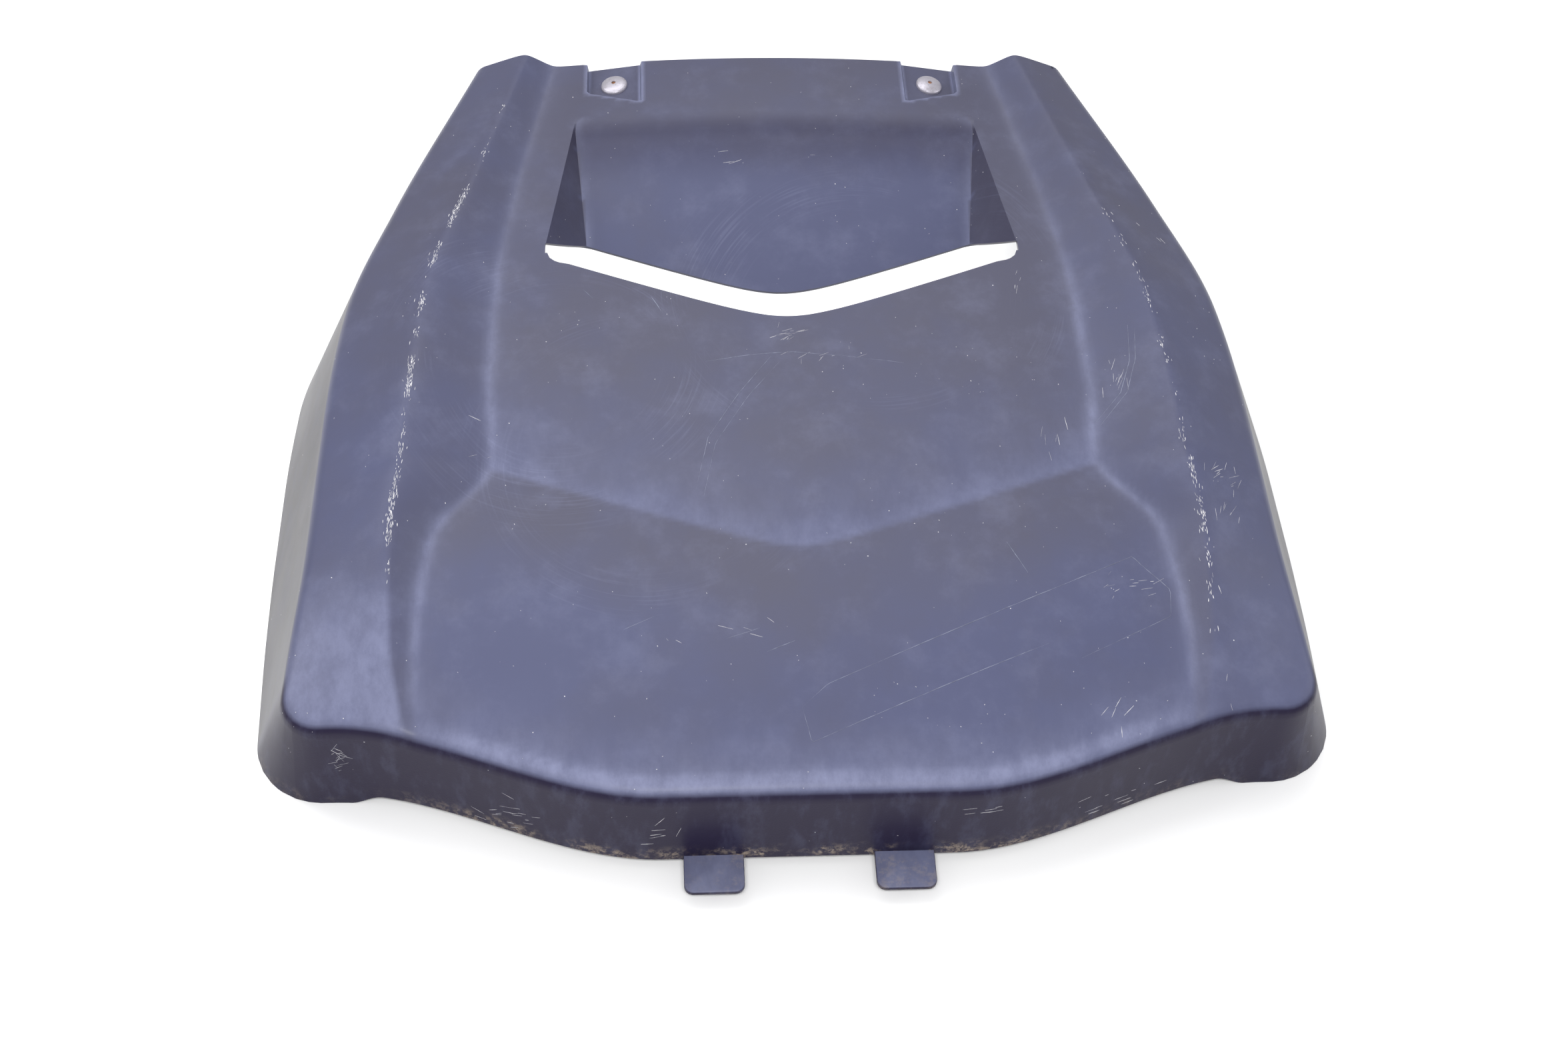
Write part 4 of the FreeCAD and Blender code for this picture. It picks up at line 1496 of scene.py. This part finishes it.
@dataclass(frozen=True)
class Viewpoint:
    """Camera of the reference picture, in millimetres and degrees."""

    place: Tuple[float, float, float] = (-90.87, -921.17, 1149.21)
    yaw: float = 5.666
    pitch: float = 52.0
    roll: float = 3.661
    lens: float = 45.153

    def build(self) -> bpy.types.Object:
        """Adds the camera.

        Returns:
            The camera object.
        """
        yaw, pitch, roll = (math.radians(v) for v in (self.yaw, self.pitch, self.roll))
        look = Vector((math.sin(yaw) * math.cos(pitch), math.cos(yaw) * math.cos(pitch), -math.sin(pitch)))
        right = Vector((math.cos(yaw), -math.sin(yaw), 0.0))
        up = right.cross(look)
        turned = right * math.cos(roll) + up * math.sin(roll)
        upright = up * math.cos(roll) - right * math.sin(roll)
        data = bpy.data.cameras.new("viewpoint")
        data.lens = self.lens
        data.sensor_width = 36.0
        item = bpy.data.objects.new("viewpoint", data)
        matrix = Matrix((turned, upright, -look)).transposed().to_4x4()
        matrix.translation = Vector(self.place) * MM
        item.matrix_world = matrix
        bpy.context.scene.collection.objects.link(item)
        bpy.context.scene.camera = item
        return item


@dataclass(frozen=True)
class SoftLight:
    """One large area light aimed at a point."""

    name: str
    place: Tuple[float, float, float]
    aim: Tuple[float, float, float]
    size: Tuple[float, float]
    power: float
    shown: bool = True

    def build(self) -> None:
        """Adds the light."""
        data = bpy.data.lights.new(self.name, "AREA")
        data.shape = "RECTANGLE"
        data.size, data.size_y = self.size
        data.energy = self.power
        item = bpy.data.objects.new(self.name, data)
        item.location = self.place
        away = Vector(self.aim) - Vector(self.place)
        item.rotation_euler = away.to_track_quat("-Z", "Y").to_euler()
        item.visible_camera = self.shown
        bpy.context.scene.collection.objects.link(item)


@dataclass
class Studio:
    """Pale floor and soft lights."""

    lights: List[SoftLight] = field(default_factory=lambda: [
        SoftLight("overhead", (-0.3, 0.95, 2.0), (0.0, 0.1, 0.0), (2.2, 1.6), 28.0),
        SoftLight("brow", (-0.1, -1.1, 1.62), (0.0, -0.3, 0.08), (0.7, 0.22), 21.0),
        SoftLight("left_panel", (-1.3, 0.55, 1.25), (-0.3, -0.2, 0.09), (0.5, 0.5), 5.0),
        SoftLight("left_fill", (-1.9, -0.3, 1.3), (0.0, 0.0, 0.1), (1.2, 1.2), 5.0),
        SoftLight("right_fill", (2.0, 0.2, 1.2), (0.0, 0.0, 0.1), (1.2, 1.2), 8.0),
        SoftLight("slot_glow", (0.0, 0.2, 0.05), (0.0, 0.2, 0.0), (0.44, 0.34), 0.6, False),
    ])

    def build(self) -> bpy.types.Object:
        """Builds the stage.

        Returns:
            The floor.
        """
        scene = bpy.context.scene
        world = bpy.data.worlds.new("studio")
        world.use_nodes = True
        ground = world.node_tree.nodes["Background"]
        ground.inputs["Color"].default_value = (1.0, 1.0, 1.0, 1.0)
        ground.inputs["Strength"].default_value = 0.45
        scene.world = world
        scene.view_settings.view_transform = "Standard"
        material, sketch, shader = new_material("pale_floor")
        shade = sketch.spread(sketch.noise(sketch.place((1.0, 1.0, 1.0)), 1.2, 2.0), 0.3, 0.7)
        tone = sketch.blend(shade, (0.93, 0.93, 0.935, 1.0), (0.95, 0.95, 0.955, 1.0))
        sketch.join(tone, shader.inputs["Base Color"])
        shader.inputs["Roughness"].default_value = 0.9
        mesh = bpy.data.meshes.new("floor")
        reach = 6.0
        mesh.from_pydata([(-reach, -reach, 0), (reach, -reach, 0), (reach, reach, 0), (-reach, reach, 0)],
                         [], [(0, 1, 2, 3)])
        mesh.materials.append(material)
        floor = bpy.data.objects.new("floor", mesh)
        floor.location.z = -0.0005
        scene.collection.objects.link(floor)
        for light in self.lights:
            light.build()
        return floor


def added_bounds(pieces: Sequence[bpy.types.Object]) -> None:
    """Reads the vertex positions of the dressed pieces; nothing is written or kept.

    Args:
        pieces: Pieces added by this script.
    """
    for piece in pieces:
        flat = np.zeros(len(piece.data.vertices) * 3, np.float32)
        piece.data.vertices.foreach_get("co", flat)


def paint(item: bpy.types.Object, finish: bpy.types.Material) -> None:
    """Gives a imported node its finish.

    Args:
        item: Object of the node.
        finish: Material to use.
    """
    item.data.materials.clear()
    item.data.materials.append(finish)


def main() -> None:
    """Builds every piece in order."""
    logging.basicConfig(level=logging.INFO, format="%(message)s")
    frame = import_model()
    form = BonnetForm()
    outside = WornPlastic().build()
    inside = PlainPlastic().build()
    skin = Shell(form)
    shell = skin.build(outside, inside)
    tabs = FrontTabs(form).build(outside)
    torn = ScratchedPlastic("torn_plastic", (0.34, 0.34, 0.38, 1.0), (0.74, 0.73, 0.75, 1.0)).build()
    faint = ScratchedPlastic("faint_scratch", (0.13, 0.14, 0.20, 1.0), (0.26, 0.28, 0.37, 1.0)).build()
    crests = Flecks("crest_flecks", "crest", density=1100000.0, length=2.6, width=0.42, spread=14.0,
                    lumps=60.0, seed=7).build(skin.surface, torn)
    scuffs = Flecks("scuff_flecks", "scuff", density=210000.0, length=8.0, width=0.24, spread=14.0,
                    lumps=150.0, seed=11).build(skin.surface, torn)
    specks = Flecks("fine_specks", "speck", density=2600.0, length=0.70, width=0.50, spread=180.0,
                    lumps=22.0, seed=19).build(skin.surface, torn)
    scratches = Scratches(form).build(faint)
    pieces = (shell, tabs, crests, scuffs, specks, scratches)
    for piece in pieces:
        LOG.info("%s %d faces", piece.name, len(piece.data.polygons))
        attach(piece, "root")
    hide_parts("bonnet_shell")
    nodes = frame["nodes"]
    paint(nodes["dome_rivets"], DullMetal("rivet_metal", (0.47, 0.45, 0.51, 1.0), (0.33, 0.31, 0.35, 1.0),
                                          0.55, 0.36).build())
    paint(nodes["rivet_mandrels"], DullMetal("rusty_pin", (0.28, 0.12, 0.05, 1.0), (0.10, 0.04, 0.02, 1.0),
                                             0.2, 0.7).build())
    paint(nodes["backup_washers"], DullMetal("washer_zinc", (0.55, 0.55, 0.54, 1.0), (0.38, 0.37, 0.36, 1.0),
                                             0.9, 0.42).build())
    Studio().build()
    Viewpoint().build()
    added_bounds(pieces)


if __name__ == "__main__":
    main()
